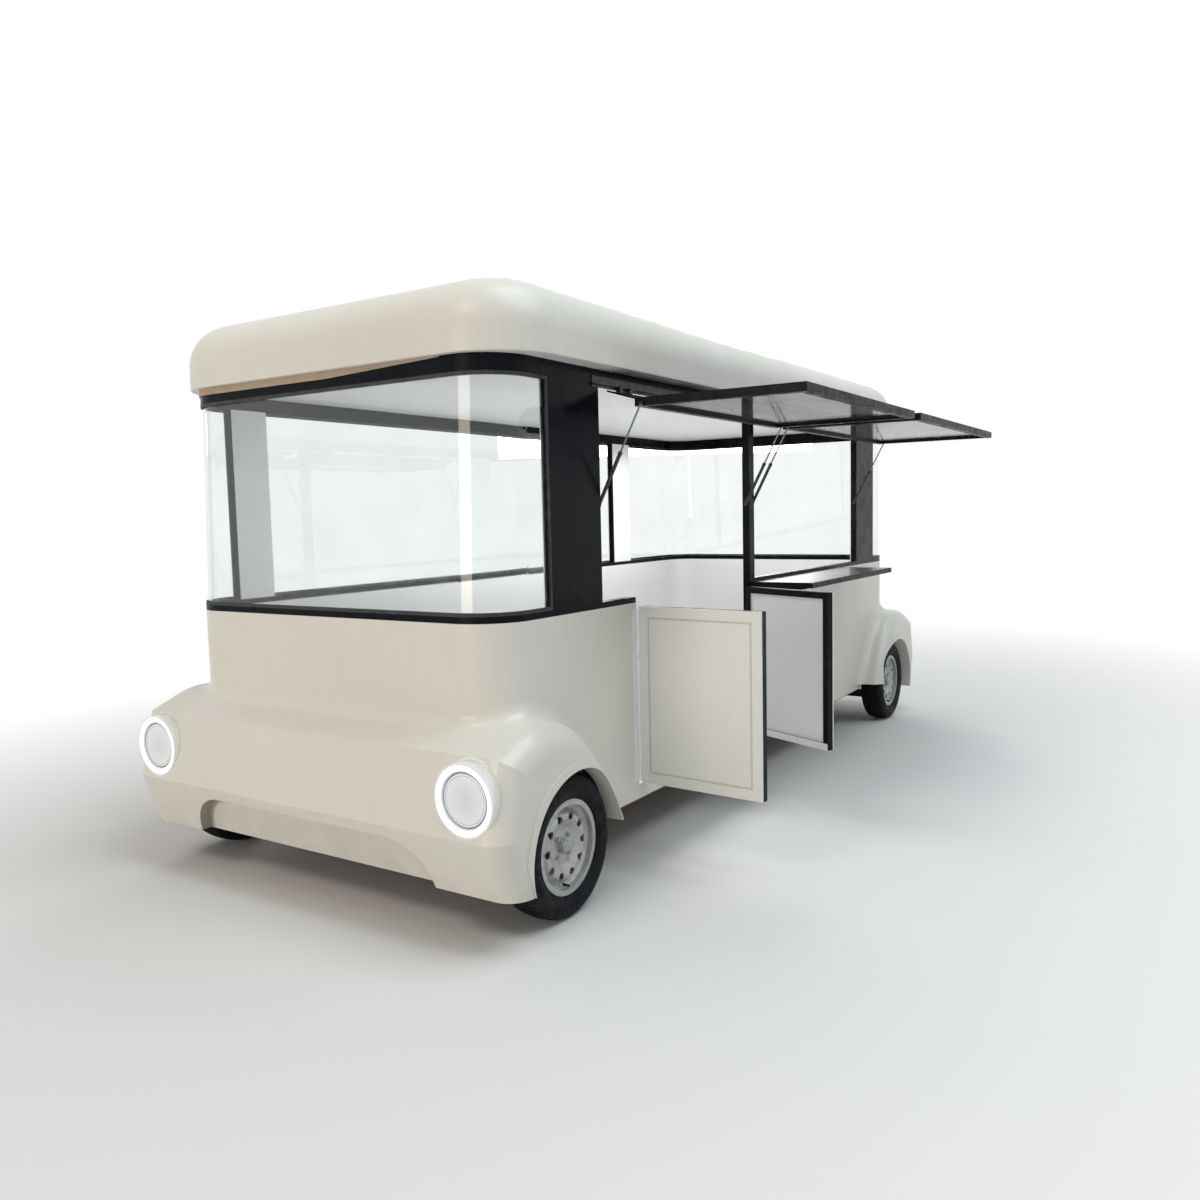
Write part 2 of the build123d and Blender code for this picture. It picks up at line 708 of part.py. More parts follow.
with BuildPart() as headlight_rings:
    for side in (1, -1):
        rod_y(side * LAMP_X, (-LAMP_SEAT_Y, RING_SINK - LAMP_FRONT_Y), LAMP_Z, RING_R)
        rod_y(side * LAMP_X, (OVERCUT - LAMP_SEAT_Y, -LAMP_FRONT_Y), LAMP_Z, LENS_R, Mode.SUBTRACT)
    fillet(headlight_rings.faces().sort_by(Axis.Y)[0:2].edges(), RING_ROUND)
headlight_rings.part.label = "headlight_rings"
export_step(headlight_rings.part, "parts/headlight_rings.step")

with BuildPart() as headlight_lenses:
    for side in (1, -1):
        rod_y(side * LAMP_X, (-LAMP_SEAT_Y, LENS_SINK - LAMP_FRONT_Y), LAMP_Z, LENS_R)
    fillet(headlight_lenses.faces().sort_by(Axis.Y)[0:2].edges(), LENS_ROUND)
headlight_lenses.part.label = "headlight_lenses"
export_step(headlight_lenses.part, "parts/headlight_lenses.step")

with BuildPart() as tail_lenses:
    for side in (1, -1):
        rod_y(side * LAMP_X, (LAMP_SEAT_Y, LAMP_FRONT_Y - TAIL_SINK), LAMP_Z, RING_R)
    fillet(tail_lenses.faces().sort_by(Axis.Y)[-2:].edges(), LENS_ROUND)
tail_lenses.part.label = "tail_lenses"
export_step(tail_lenses.part, "parts/tail_lenses.step")

# Chassis: channel rails under the deck, cross members, spring hangers and a bolt-up
# plate for a drawbar at the front end.
RAIL_Z = (DECK_BOTTOM_Z - RAIL_H, DECK_BOTTOM_Z)
CROSS_TOP_Z = DECK_BOTTOM_Z - TUBE_T
CROSS_Z = (RAIL_Z[0] + CROSS_LIFT, CROSS_TOP_Z)
HORN_TOP_Z = SKIRT_Z - SHELL_GAP
EYE_Y = HORN_END - AXLE_Y - HANGER_HALF
EYE_Z = BEAM_TOP_Z + EYE_RISE
HANGER_X = SPRING_W / 2 + HANGER_GAP + HANGER_T / 2


def channel(side, x, half_length):
    """Rail of C section along Y, open towards the middle of the cart."""
    web = side * (x + RAIL_W / 2)
    lip = side * (x - RAIL_W / 2)
    span_box((lip, web), (-half_length, half_length), RAIL_Z)
    span_box(
        (lip - side * OVERCUT, web - side * TUBE_T),
        (-half_length - OVERCUT, half_length + OVERCUT),
        (RAIL_Z[0] + TUBE_T, RAIL_Z[1] - TUBE_T),
        Mode.SUBTRACT,
    )


with BuildPart() as chassis:
    for side in (1, -1):
        channel(side, SPRING_X, RAIL_END)
        channel(side, SIDE_RAIL_X, SIDE_RAIL_END)
    cross_in = SPRING_X + RAIL_W / 2 - TUBE_T
    cross_out = SIDE_RAIL_X + RAIL_W / 2 - TUBE_T
    for row in range(CROSS_ROWS):
        y = (SIDE_RAIL_END - CROSS_END) * (2 * row / (CROSS_ROWS - 1) - 1)
        across = (y - CROSS_W / 2, y + CROSS_W / 2)
        for x in ((-cross_in, cross_in), (-cross_out, -cross_in), (cross_in, cross_out)):
            span_box(x, across, (CROSS_TOP_Z - TUBE_T, CROSS_TOP_Z))
            span_box(x, (across[0], across[0] + TUBE_T), CROSS_Z)
    for end in (1, -1):
        across = (end * (RAIL_END - CROSS_W), end * RAIL_END)
        web_y = (across[0], across[0] + end * TUBE_T)
        span_box((-cross_in, cross_in), across, (CROSS_TOP_Z - TUBE_T, CROSS_TOP_Z))
        span_box((-cross_in, cross_in), across, (RAIL_Z[0] + TUBE_T, RAIL_Z[0] + 2 * TUBE_T))
        span_box((-cross_in, cross_in), web_y, (RAIL_Z[0] + TUBE_T, CROSS_TOP_Z))
        for side in (1, -1):
            span_box(
                (side * (SPRING_X - RAIL_W / 2), side * (SPRING_X + RAIL_W / 2)),
                (end * (RAIL_END - TUBE_T), end * HORN_END),
                (RAIL_Z[0], HORN_TOP_Z),
            )
            for eye in (EYE_Y, -EYE_Y):
                y = end * AXLE_Y + eye
                for x in (side * SPRING_X - HANGER_X, side * SPRING_X + HANGER_X):
                    span_box(
                        (x - HANGER_T / 2, x + HANGER_T / 2),
                        (y - HANGER_HALF, y + HANGER_HALF),
                        (EYE_Z - EYE_R - SHELL_GAP, HORN_TOP_Z - SHELL_GAP),
                    )
                    rod_x((x - HANGER_T, x + HANGER_T), y, EYE_Z, EYE_PIN_R, Mode.SUBTRACT)
    span_box(
        (-PLATE_W / 2, PLATE_W / 2),
        (HITCH_Y - PLATE_L / 2, HITCH_Y + PLATE_L / 2),
        (RAIL_Z[0] - PLATE_DROP, RAIL_Z[0] + TUBE_T),
    )
    for x in (-HITCH_DX / 2, HITCH_DX / 2):
        for y in (HITCH_Y - HITCH_DY / 2, HITCH_Y + HITCH_DY / 2):
            rod_z(x, y, (RAIL_Z[0] - OVERCUT, RAIL_Z[0] + OVERCUT), HITCH_R, Mode.SUBTRACT)
chassis.part.label = "chassis"
export_step(chassis.part, "parts/chassis.step")

# Leaf springs: four stepped leaves, the longest on top with an eye at each end.
CORNERS = ((1, 1), (1, -1), (-1, 1), (-1, -1))
with BuildPart() as leaf_springs:
    for side, end in CORNERS:
        x = (side * SPRING_X - SPRING_W / 2, side * SPRING_X + SPRING_W / 2)
        y = end * AXLE_Y
        for leaf in range(LEAVES):
            z = BEAM_TOP_Z + leaf * LEAF_T
            half = EYE_Y - (LEAVES - 1 - leaf) * LEAF_STEP
            span_box(x, (y - half, y + half), (z, z + LEAF_T))
        for eye in (y - EYE_Y, y + EYE_Y):
            rod_x(x, eye, EYE_Z, EYE_R)
            rod_x(x, eye, EYE_Z, EYE_PIN_R, Mode.SUBTRACT)
leaf_springs.part.label = "leaf_springs"
export_step(leaf_springs.part, "parts/leaf_springs.step")

# Spring bolts: clamp plates with four studs round each axle, and the eye pins.
PACK_TOP_Z = BEAM_TOP_Z + LEAVES * LEAF_T
PIN_HALF = HANGER_X + HANGER_T
with BuildPart() as spring_bolts:
    for side, end in CORNERS:
        x = side * SPRING_X
        y = end * AXLE_Y
        plate_x = (x - CLAMP_HALF_X, x + CLAMP_HALF_X)
        plate_y = (y - CLAMP_HALF_Y, y + CLAMP_HALF_Y)
        span_box(plate_x, plate_y, (PACK_TOP_Z, PACK_TOP_Z + CLAMP_T))
        span_box(plate_x, plate_y, (BEAM_LOW_Z - CLAMP_T, BEAM_LOW_Z))
        for dx in (-CLAMP_STUD_X, CLAMP_STUD_X):
            for dy in (-CLAMP_STUD_Y, CLAMP_STUD_Y):
                reach = (BEAM_LOW_Z - 2 * CLAMP_T, PACK_TOP_Z + 2 * CLAMP_T)
                rod_z(x + dx, y + dy, reach, CLAMP_STUD_R)
        for eye in (y - EYE_Y, y + EYE_Y):
            rod_x((x - PIN_HALF, x + PIN_HALF), eye, EYE_Z, EYE_PIN_R)
spring_bolts.part.label = "spring_bolts"
export_step(spring_bolts.part, "parts/spring_bolts.step")


# Axles: dropped forged beams. The front one carries king pins, the rear one spindles.
def beam(y, half_length):
    """Axle beam of I section with solid square ends."""
    span_box((-half_length, half_length), (y - BEAM / 2, y + BEAM / 2), (BEAM_LOW_Z, BEAM_TOP_Z))
    hollow = KINGPIN_X - BEAM_SOLID
    for edge in (-1, 1):
        span_box(
            (-hollow, hollow),
            (y + edge * BEAM_WEB / 2, y + edge * (BEAM / 2 + OVERCUT)),
            (BEAM_LOW_Z + BEAM_FLANGE, BEAM_TOP_Z - BEAM_FLANGE),
            Mode.SUBTRACT,
        )


SLEEVE_Z = (BEAM_TOP_Z + THRUST_GAP, AXLE_Z + SLEEVE_RISE)
PIN_HEAD_Z = (SLEEVE_Z[1] + THRUST_GAP, SLEEVE_Z[1] + PIN_HEAD_T)
with BuildPart() as front_axle:
    beam(-AXLE_Y, KINGPIN_X + SLEEVE_R)
    for side in (1, -1):
        rod_z(side * KINGPIN_X, -AXLE_Y, (BEAM_TOP_Z, PIN_HEAD_Z[1]), KINGPIN_R)
        rod_z(side * KINGPIN_X, -AXLE_Y, PIN_HEAD_Z, PIN_HEAD_R)
front_axle.part.label = "front_axle"
export_step(front_axle.part, "parts/front_axle.step")


def spindle(side, y, root):
    """Wheel spindle from root outwards, with the backing plate of the brake."""
    rod_x((side * root, side * SPINDLE_END_X), y, AXLE_Z, SPINDLE_R)
    plate = (side * BACK_PLATE_X, side * (BACK_PLATE_X + BACK_PLATE_T))
    rod_x(plate, y, AXLE_Z, BACK_PLATE_R)


with BuildPart() as rear_axle:
    beam(AXLE_Y, SPINDLE_ROOT_X)
    for side in (1, -1):
        span_box(
            (side * (SPINDLE_ROOT_X - UPRIGHT_T), side * SPINDLE_ROOT_X),
            (AXLE_Y - UPRIGHT_HALF, AXLE_Y + UPRIGHT_HALF),
            (BEAM_LOW_Z, AXLE_Z + UPRIGHT_HALF),
        )
        spindle(side, AXLE_Y, SPINDLE_ROOT_X)
rear_axle.part.label = "rear_axle"
export_step(rear_axle.part, "parts/rear_axle.step")

# Steering knuckles: king pin sleeve, wheel spindle, backing plate and steering arm.
TIE_Y = -AXLE_Y + ARM
ARM_Z = (SLEEVE_Z[0], SLEEVE_Z[0] + ARM_T)
for side, name in ((-1, "knuckle_left"), (1, "knuckle_right")):
    x = side * KINGPIN_X
    with BuildPart() as knuckle:
        rod_z(x, -AXLE_Y, SLEEVE_Z, SLEEVE_R)
        spindle(side, -AXLE_Y, KINGPIN_X)
        span_box((x - ARM_W / 2, x + ARM_W / 2), (-AXLE_Y, TIE_Y), ARM_Z)
        rod_z(x, TIE_Y, ARM_Z, ARM_W / 2)
        rod_z(x, TIE_Y, (TIE_Z - TIE_EYE_H / 2 - TIE_HEAD_T, ARM_Z[1]), TIE_PIN_R)
        head_top = TIE_Z - TIE_EYE_H / 2 - TIE_END_GAP
        rod_z(x, TIE_Y, (head_top - TIE_HEAD_T, head_top), TIE_HEAD_R)
        bore = (SLEEVE_Z[0] - OVERCUT, SLEEVE_Z[1] + OVERCUT)
        rod_z(x, -AXLE_Y, bore, KINGPIN_R + RUN_GAP, Mode.SUBTRACT)
    knuckle.part.label = name
    export_step(knuckle.part, f"parts/{name}.step")

# Tie rod: keeps the two steering arms parallel.
TIE_HALF = KINGPIN_X - (TIE_EYE_R + TIE_PIN_R) / 2
with BuildPart() as tie_rod:
    rod_x((-TIE_HALF, TIE_HALF), TIE_Y, TIE_Z, TIE_R)
    for side in (1, -1):
        x = side * KINGPIN_X
        rod_z(x, TIE_Y, (TIE_Z - TIE_EYE_H / 2, TIE_Z + TIE_EYE_H / 2), TIE_EYE_R)
        rod_z(x, TIE_Y, (TIE_Z - TIE_EYE_H, TIE_Z + TIE_EYE_H), TIE_PIN_R + RUN_GAP, Mode.SUBTRACT)
tie_rod.part.label = "tie_rod"
export_step(tie_rod.part, "parts/tie_rod.step")

# Wheels, drawn about the origin with the outside towards +X, then set at each corner.
# The tyre is a hollow carcass on the bead seats; three grooves run round the tread.
BEAD = RIM_W / 2 - FLANGE_T
SEAT_R = RIM_R - FLANGE_H
BULGE_R = (TYRE_R + RIM_R) / 2
with BuildPart() as tyre_form:
    with BuildSketch(Plane.XZ):
        with BuildLine():
            Polyline(
                (-BEAD, RIM_R), (-BEAD, SEAT_R), (BEAD_T - BEAD, SEAT_R), (BEAD_T - BEAD, RIM_R),
            )
            ThreePointArc(
                (BEAD_T - BEAD, RIM_R),
                (CARCASS_T - TYRE_W / 2, BULGE_R),
                (CARCASS_T - TREAD_HALF, SHOULDER_R - CARCASS_T),
            )
            ThreePointArc(
                (CARCASS_T - TREAD_HALF, SHOULDER_R - CARCASS_T),
                (0, TYRE_R - CARCASS_T),
                (TREAD_HALF - CARCASS_T, SHOULDER_R - CARCASS_T),
            )
            ThreePointArc(
                (TREAD_HALF - CARCASS_T, SHOULDER_R - CARCASS_T),
                (TYRE_W / 2 - CARCASS_T, BULGE_R),
                (BEAD - BEAD_T, RIM_R),
            )
            Polyline(
                (BEAD - BEAD_T, RIM_R), (BEAD - BEAD_T, SEAT_R), (BEAD, SEAT_R), (BEAD, RIM_R),
            )
            ThreePointArc((BEAD, RIM_R), (TYRE_W / 2, BULGE_R), (TREAD_HALF, SHOULDER_R))
            ThreePointArc((TREAD_HALF, SHOULDER_R), (0, TYRE_R), (-TREAD_HALF, SHOULDER_R))
            ThreePointArc((-TREAD_HALF, SHOULDER_R), (-TYRE_W / 2, BULGE_R), (-BEAD, RIM_R))
        make_face()
        with Locations((-GROOVE_PITCH, TYRE_R), (0, TYRE_R), (GROOVE_PITCH, TYRE_R)):
            Rectangle(TREAD_GROOVE_W, 2 * TREAD_GROOVE_D, mode=Mode.SUBTRACT)
    revolve(axis=Axis.X)

# Steel rim: a rolled band with a drop centre, and a pressed disc that bulges out to its
# ring of round holes and dishes in to the hub.
WELL_R = RIM_R - WELL_D
with BuildPart() as rim_form:
    edge = RIM_W / 2
    with BuildSketch(Plane.XZ):
        with BuildLine():
            Polyline(
                (-edge, RIM_R), (-BEAD, RIM_R), (-BEAD, SEAT_R), (-WELL_TOP, SEAT_R), (-WELL_HALF, WELL_R),
                (WELL_HALF, WELL_R), (WELL_TOP, SEAT_R), (BEAD, SEAT_R), (BEAD, RIM_R), (edge, RIM_R),
                (edge, SEAT_R - RIM_T), (WELL_TOP, SEAT_R - RIM_T), (WELL_HALF, WELL_R - RIM_T),
                (-WELL_HALF, WELL_R - RIM_T), (-WELL_TOP, SEAT_R - RIM_T), (-edge, SEAT_R - RIM_T),
                close=True,
            )
        make_face()
    revolve(axis=Axis.X)
    with BuildSketch(Plane.XZ) as disc_view:
        with BuildLine():
            Polyline(
                (DISC_ROOT, WELL_R - RIM_T / 2),
                (DISC_OUT, HOLE_RING_R + DISC_SHOULDER),
                (DISC_OUT, HOLE_RING_R - DISC_SHOULDER),
                (HUB_FACE + DISC_T, DISH_R),
                (HUB_FACE + DISC_T, HUB_R),
                (HUB_FACE, HUB_R),
                (HUB_FACE, DISH_R + DISC_T),
                (DISC_OUT - DISC_T, HOLE_RING_R - DISC_SHOULDER),
                (DISC_OUT - DISC_T, HOLE_RING_R + DISC_SHOULDER - DISC_T),
                (DISC_ROOT - 2 * DISC_T, WELL_R - RIM_T / 2),
                close=True,
            )
        make_face()
        bends = disc_view.vertices().filter_by(lambda v: DISH_R - 1 < v.Y < WELL_R - RIM_T)
        fillet(bends, DISC_BEND_R)
    revolve(axis=Axis.X)
    with BuildSketch(Plane.YZ.offset(HUB_FACE)):
        with PolarLocations(HOLE_RING_R, DISC_HOLES):
            Circle(DISC_HOLE_R)
    extrude(amount=RIM_W, mode=Mode.SUBTRACT)
    with BuildSketch(Plane.YZ.offset(HUB_FACE - OVERCUT)):
        with PolarLocations(BOLT_RING_R, BOLTS, 45):
            Circle(BOLT_R)
    extrude(amount=RIM_W, mode=Mode.SUBTRACT)

# Hub with its brake drum, flange, four wheel bolts and grease cap.
NUT_X = HUB_FACE + DISC_T
with BuildPart() as hub_form:
    rod_x((DRUM_IN_X, HUB_FACE - FLANGE_W), 0, 0, DRUM_R)
    rod_x((HUB_FACE - FLANGE_W, HUB_FACE), 0, 0, FLANGE_R)
    rod_x((HUB_FACE, CAP_X), 0, 0, HUB_R)
    rod_x((CAP_X, CAP_END_X), 0, 0, CAP_R)
    fillet(hub_form.faces().sort_by(Axis.X)[-1].edges(), CAP_ROUND)
    with BuildSketch(Plane.YZ.offset(HUB_FACE - 1)):
        with PolarLocations(BOLT_RING_R, BOLTS, 45):
            Circle(BOLT_R)
    extrude(amount=BOLT_L)
    with BuildSketch(Plane.YZ.offset(NUT_X)):
        with PolarLocations(BOLT_RING_R, BOLTS, 45):
            RegularPolygon(NUT_R, 6)
    extrude(amount=NUT_T)
    bore = (DRUM_IN_X - OVERCUT, SPINDLE_END_X - WHEEL_X + CAP_AIR)
    rod_x(bore, 0, 0, SPINDLE_R + RUN_GAP, Mode.SUBTRACT)

for end, place in ((-1, "front"), (1, "rear")):
    for side, hand in ((-1, "left"), (1, "right")):
        for form, piece in ((tyre_form, "tyre"), (rim_form, "rim"), (hub_form, "hub")):
            with BuildPart() as wheel_piece:
                with Locations((side * WHEEL_X, end * AXLE_Y, AXLE_Z)):
                    if side > 0:
                        add(form.part)
                    else:
                        add(form.part.mirror(Plane.YZ))
            wheel_piece.part.label = f"{piece}_{place}_{hand}"
            export_step(wheel_piece.part, f"parts/{piece}_{place}_{hand}.step")

# Double door. Each leaf is drawn shut, then turned about its hinge pin to where it stands open.
HINGE_X = BODY_HALF_W + HINGE_OUT
LEAF_REACH = (DOOR_REAR_Y - DOOR_FRONT_Y) / 2 - DOOR_GAP
KNUCKLE_L = (LEAF_TOP_Z - LEAF_LOW_Z - 2 * HINGE_END) / KNUCKLES
PANEL_BACK_X = BODY_HALF_W - DOOR_SKIN
FRAME_BACK_X = PANEL_BACK_X - DOOR_DEPTH
LINING_X = FRAME_BACK_X + LINING_SINK


def hinge_half(y, way, first, bore):
    """Hinge plate on the way side of the pin, with every second knuckle from first."""
    low = LEAF_LOW_Z + HINGE_END
    high = LEAF_TOP_Z - HINGE_END
    plate = (y + way * DOOR_GAP, y + way * (DOOR_GAP + HINGE_PLATE))
    span_box((BODY_HALF_W, BODY_HALF_W + HINGE_PLATE_T), plate, (low, high))
    for knuckle in range(first, KNUCKLES, 2):
        z = (low + knuckle * KNUCKLE_L + MOVE_GAP, low + (knuckle + 1) * KNUCKLE_L - MOVE_GAP)
        rod_z(HINGE_X, y, z, KNUCKLE_R)
        root = (y + way * MOVE_GAP, y + way * HINGE_ROOT)
        span_box((BODY_HALF_W, BODY_HALF_W + HINGE_ROOT_T), root, z)
    if bore:
        rod_z(HINGE_X, y, (low - OVERCUT, high + OVERCUT), bore, Mode.SUBTRACT)


with BuildPart() as door_hinges:
    for y, way in ((DOOR_FRONT_Y, -1), (DOOR_REAR_Y, 1)):
        hinge_half(y, way, 0, None)
        rod_z(HINGE_X, y, (LEAF_LOW_Z + HINGE_END, LEAF_TOP_Z - HINGE_END), HINGE_PIN_R)
door_hinges.part.label = "door_hinges"
export_step(door_hinges.part, "parts/door_hinges.step")

for name, y, way, angle in (
    ("door_front", DOOR_FRONT_Y, 1, FRONT_LEAF_OPEN),
    ("door_rear", DOOR_REAR_Y, -1, REAR_LEAF_OPEN),
):
    pin = Axis((HINGE_X, y, 0), (0, 0, 1))
    near = y + way * DOOR_GAP
    far = y + way * LEAF_REACH
    height = (LEAF_LOW_Z, LEAF_TOP_Z)
    with BuildPart() as shut_panel:
        span_box((PANEL_BACK_X, BODY_HALF_W), (near, far), height)
        with BuildSketch(Plane.YZ.offset(BODY_HALF_W)):
            with Locations(((near + far) / 2, (LEAF_LOW_Z + LEAF_TOP_Z) / 2)):
                wide = abs(far - near) - 2 * GROOVE_IN
                tall = LEAF_TOP_Z - LEAF_LOW_Z - 2 * GROOVE_IN
                Rectangle(wide, tall)
                Rectangle(wide - 2 * GROOVE_W, tall - 2 * GROOVE_W, mode=Mode.SUBTRACT)
        extrude(amount=-GROOVE_D, mode=Mode.SUBTRACT)
    with BuildPart() as leaf_panel:
        add(shut_panel.part.rotate(pin, angle))
    leaf_panel.part.label = f"{name}_panel"
    export_step(leaf_panel.part, f"parts/{name}_panel.step")

    inner = (near + way * DOOR_TUBE, far - way * DOOR_TUBE)
    inner_z = (LEAF_LOW_Z + DOOR_TUBE, LEAF_TOP_Z - DOOR_TUBE)
    with BuildPart() as shut_frame:
        span_box((FRAME_BACK_X, PANEL_BACK_X), (near, far), height)
        span_box((FRAME_BACK_X - OVERCUT, PANEL_BACK_X + OVERCUT), inner, inner_z, Mode.SUBTRACT)
    with BuildPart() as leaf_frame:
        add(shut_frame.part.rotate(pin, angle))
    leaf_frame.part.label = f"{name}_frame"
    export_step(leaf_frame.part, f"parts/{name}_frame.step")

    with BuildPart() as shut_lining:
        span_box((LINING_X, LINING_X + LINING_T), inner, inner_z)
    with BuildPart() as leaf_lining:
        add(shut_lining.part.rotate(pin, angle))
    leaf_lining.part.label = f"{name}_lining"
    export_step(leaf_lining.part, f"parts/{name}_lining.step")

    with BuildPart() as shut_hinge:
        hinge_half(y, way, 1, HINGE_PIN_R + RUN_GAP)
    with BuildPart() as leaf_hinge:
        add(shut_hinge.part.rotate(pin, angle))
    leaf_hinge.part.label = f"{name}_hinge"
    export_step(leaf_hinge.part, f"parts/{name}_hinge.step")

# Hatches: glazed tube frames that hang from the header and stand open level.
HATCH_SPANS = (
    ("hatch_front", -PILLAR_IN, DOOR_REAR_Y),
    ("hatch_rear", DOOR_REAR_Y + POST_W, PILLAR_IN),
)
BAR_TOP_Z = HATCH_Z - HATCH_DROP + HATCH_TUBE
BAR_LOW_Z = HATCH_Z - HATCH_DROP
BAR_X = (HATCH_X + HATCH_IN, HATCH_X + HATCH_OUT)
PANE_Z = BAR_LOW_Z + PANE_LIFT
STRIP_IN_X = HATCH_X + BARREL_R + STRIP_GAP
STRIP_OUT_X = BAR_X[0] + STRIP_LAP


def hinge_places(low, high):
    """Where the three hinges of a hatch sit along its length."""
    return low + HINGE_INSET, (low + high) / 2, high - HINGE_INSET


for name, jamb_a, jamb_b in HATCH_SPANS:
    low = jamb_a + HATCH_SIDE_GAP
    high = jamb_b - HATCH_SIDE_GAP
    pane = (low + HATCH_TUBE, high - HATCH_TUBE)
    pane_x = (BAR_X[0] + HATCH_TUBE, BAR_X[1] - HATCH_TUBE)
    with BuildPart() as hatch_frame:
        span_box(BAR_X, (low, high), (BAR_LOW_Z, BAR_TOP_Z))
        span_box(pane_x, pane, (BAR_LOW_Z - OVERCUT, BAR_TOP_Z + OVERCUT), Mode.SUBTRACT)
        with BuildSketch(Plane.XZ.offset(-high)):
            with BuildLine():
                Polyline(
                    (STRIP_IN_X, HATCH_Z),
                    (STRIP_OUT_X, BAR_TOP_Z),
                    (STRIP_OUT_X, BAR_TOP_Z - STRIP_T),
                    (STRIP_IN_X, HATCH_Z - STRIP_T),
                    close=True,
                )
            make_face()
        extrude(amount=high - low)
        for y in hinge_places(low, high):
            barrel = (y - BARREL_L / 2, y + BARREL_L / 2)
            rod_y(HATCH_X, barrel, HATCH_Z, BARREL_R)
            tongue_z = HATCH_Z - STRIP_T / 2 - HATCH_LEAF_T / 2
            tongue = (HATCH_X, STRIP_IN_X + STRIP_LAP)
            span_box(tongue, barrel, (tongue_z, tongue_z + HATCH_LEAF_T))
            bore = (barrel[0] - OVERCUT, barrel[1] + OVERCUT)
            rod_y(HATCH_X, bore, HATCH_Z, HATCH_PIN_R + RUN_GAP, Mode.SUBTRACT)
    hatch_frame.part.label = f"{name}_frame"
    export_step(hatch_frame.part, f"parts/{name}_frame.step")

    with BuildPart() as hatch_glass:
        span_box(pane_x, pane, (PANE_Z, PANE_Z + GLASS_T))
    hatch_glass.part.label = f"{name}_glass"
    export_step(hatch_glass.part, f"parts/{name}_glass.step")

# Hinge rail on the header: a folded gutter with hinge cheeks and pins.
RAIL_LOW_Z = WINDOW_HIGH + STRIP_GAP
CHEEK_Z = (HATCH_Z + CHEEK_GAP, RAIL_LOW_Z + GUTTER_T)
with BuildPart() as hatch_rail:
    span = (-PILLAR_IN - RAIL_OVER, PILLAR_IN + RAIL_OVER)
    span_box((BODY_HALF_W, BODY_HALF_W + GUTTER_T), span, (WINDOW_HIGH - RAIL_DROP, WINDOW_HIGH + RAIL_RISE))
    span_box((BODY_HALF_W, BODY_HALF_W + GUTTER), span, (RAIL_LOW_Z, RAIL_LOW_Z + GUTTER_T))
    for name, jamb_a, jamb_b in HATCH_SPANS:
        for y in hinge_places(jamb_a + HATCH_SIDE_GAP, jamb_b - HATCH_SIDE_GAP):
            for way in (1, -1):
                inner = y + way * (BARREL_L / 2 + PIN_END_GAP)
                outer = inner + way * CHEEK_L
                rod_y(HATCH_X, (inner, outer), HATCH_Z, BARREL_R)
                span_box((BODY_HALF_W, HATCH_X + BARREL_R), (inner, outer), CHEEK_Z)
            reach = BARREL_L / 2 + CHEEK_L
            rod_y(HATCH_X, (y - reach, y + reach), HATCH_Z, HATCH_PIN_R)

# Gas struts at both sides of each hatch, in the gap between frame and jamb.
STRUT_TOP_X = HATCH_X + STRUT_TOP[0]
STRUT_TOP_Z = HATCH_Z + STRUT_TOP[1]
STRUT_L = math.hypot(STRUT_TOP_X - STRUT_LOW_X, STRUT_TOP_Z - STRUT_LOW_Z)
STRUT_DIR = ((STRUT_TOP_X - STRUT_LOW_X) / STRUT_L, 0, (STRUT_TOP_Z - STRUT_LOW_Z) / STRUT_L)
STRUTS = []
for name, jamb_a, jamb_b in HATCH_SPANS:
    STRUTS.append((f"{name}_strut_a", jamb_a, 1))
    STRUTS.append((f"{name}_strut_b", jamb_b, -1))

with BuildPart() as hatch_hardware:
    add(hatch_rail.part)
    for name, jamb, way in STRUTS:
        plane_y = jamb + way * STRUT_PLANE
        rod_y(STRUT_LOW_X, (jamb, plane_y + way * (EYE_HALF + STUD_END)), STRUT_LOW_Z, STUD_R)
        rod_y(STRUT_LOW_X, (jamb, jamb + way * STUD_FLANGE_T), STRUT_LOW_Z, EYE_OUT_R)
hatch_hardware.part.label = "hatch_hardware"
export_step(hatch_hardware.part, "parts/hatch_hardware.step")

for name, jamb, way in STRUTS:
    plane_y = jamb + way * STRUT_PLANE
    foot = Plane(origin=(STRUT_LOW_X, plane_y, STRUT_LOW_Z), x_dir=(0, 1, 0), z_dir=STRUT_DIR)
    eye = (plane_y - EYE_HALF, plane_y + EYE_HALF)
    with BuildPart() as cylinder:
        with BuildSketch(foot.offset(EYE_HALF)):
            Circle(CYL_R)
        extrude(amount=CYL_L - EYE_HALF)
        rod_y(STRUT_LOW_X, eye, STRUT_LOW_Z, EYE_OUT_R)
        with BuildSketch(foot.offset(BORE_FLOOR)):
            Circle(ROD_R + RUN_GAP)
        extrude(amount=CYL_L, mode=Mode.SUBTRACT)
        bore = (eye[0] - OVERCUT, eye[1] + OVERCUT)
        rod_y(STRUT_LOW_X, bore, STRUT_LOW_Z, STUD_R + RUN_GAP, Mode.SUBTRACT)
    cylinder.part.label = f"{name}_cylinder"
    export_step(cylinder.part, f"parts/{name}_cylinder.step")

    hatch_side = jamb + way * (HATCH_SIDE_GAP - MOVE_GAP)
    with BuildPart() as strut_rod:
        with BuildSketch(foot.offset(STRUT_L - ROD_L)):
            Circle(ROD_R)
        extrude(amount=ROD_L)
        rod_y(STRUT_TOP_X, eye, STRUT_TOP_Z, EYE_OUT_R)
        rod_y(STRUT_TOP_X, (plane_y, hatch_side), STRUT_TOP_Z, STUB_R)
    strut_rod.part.label = f"{name}_rod"
    export_step(strut_rod.part, f"parts/{name}_rod.step")

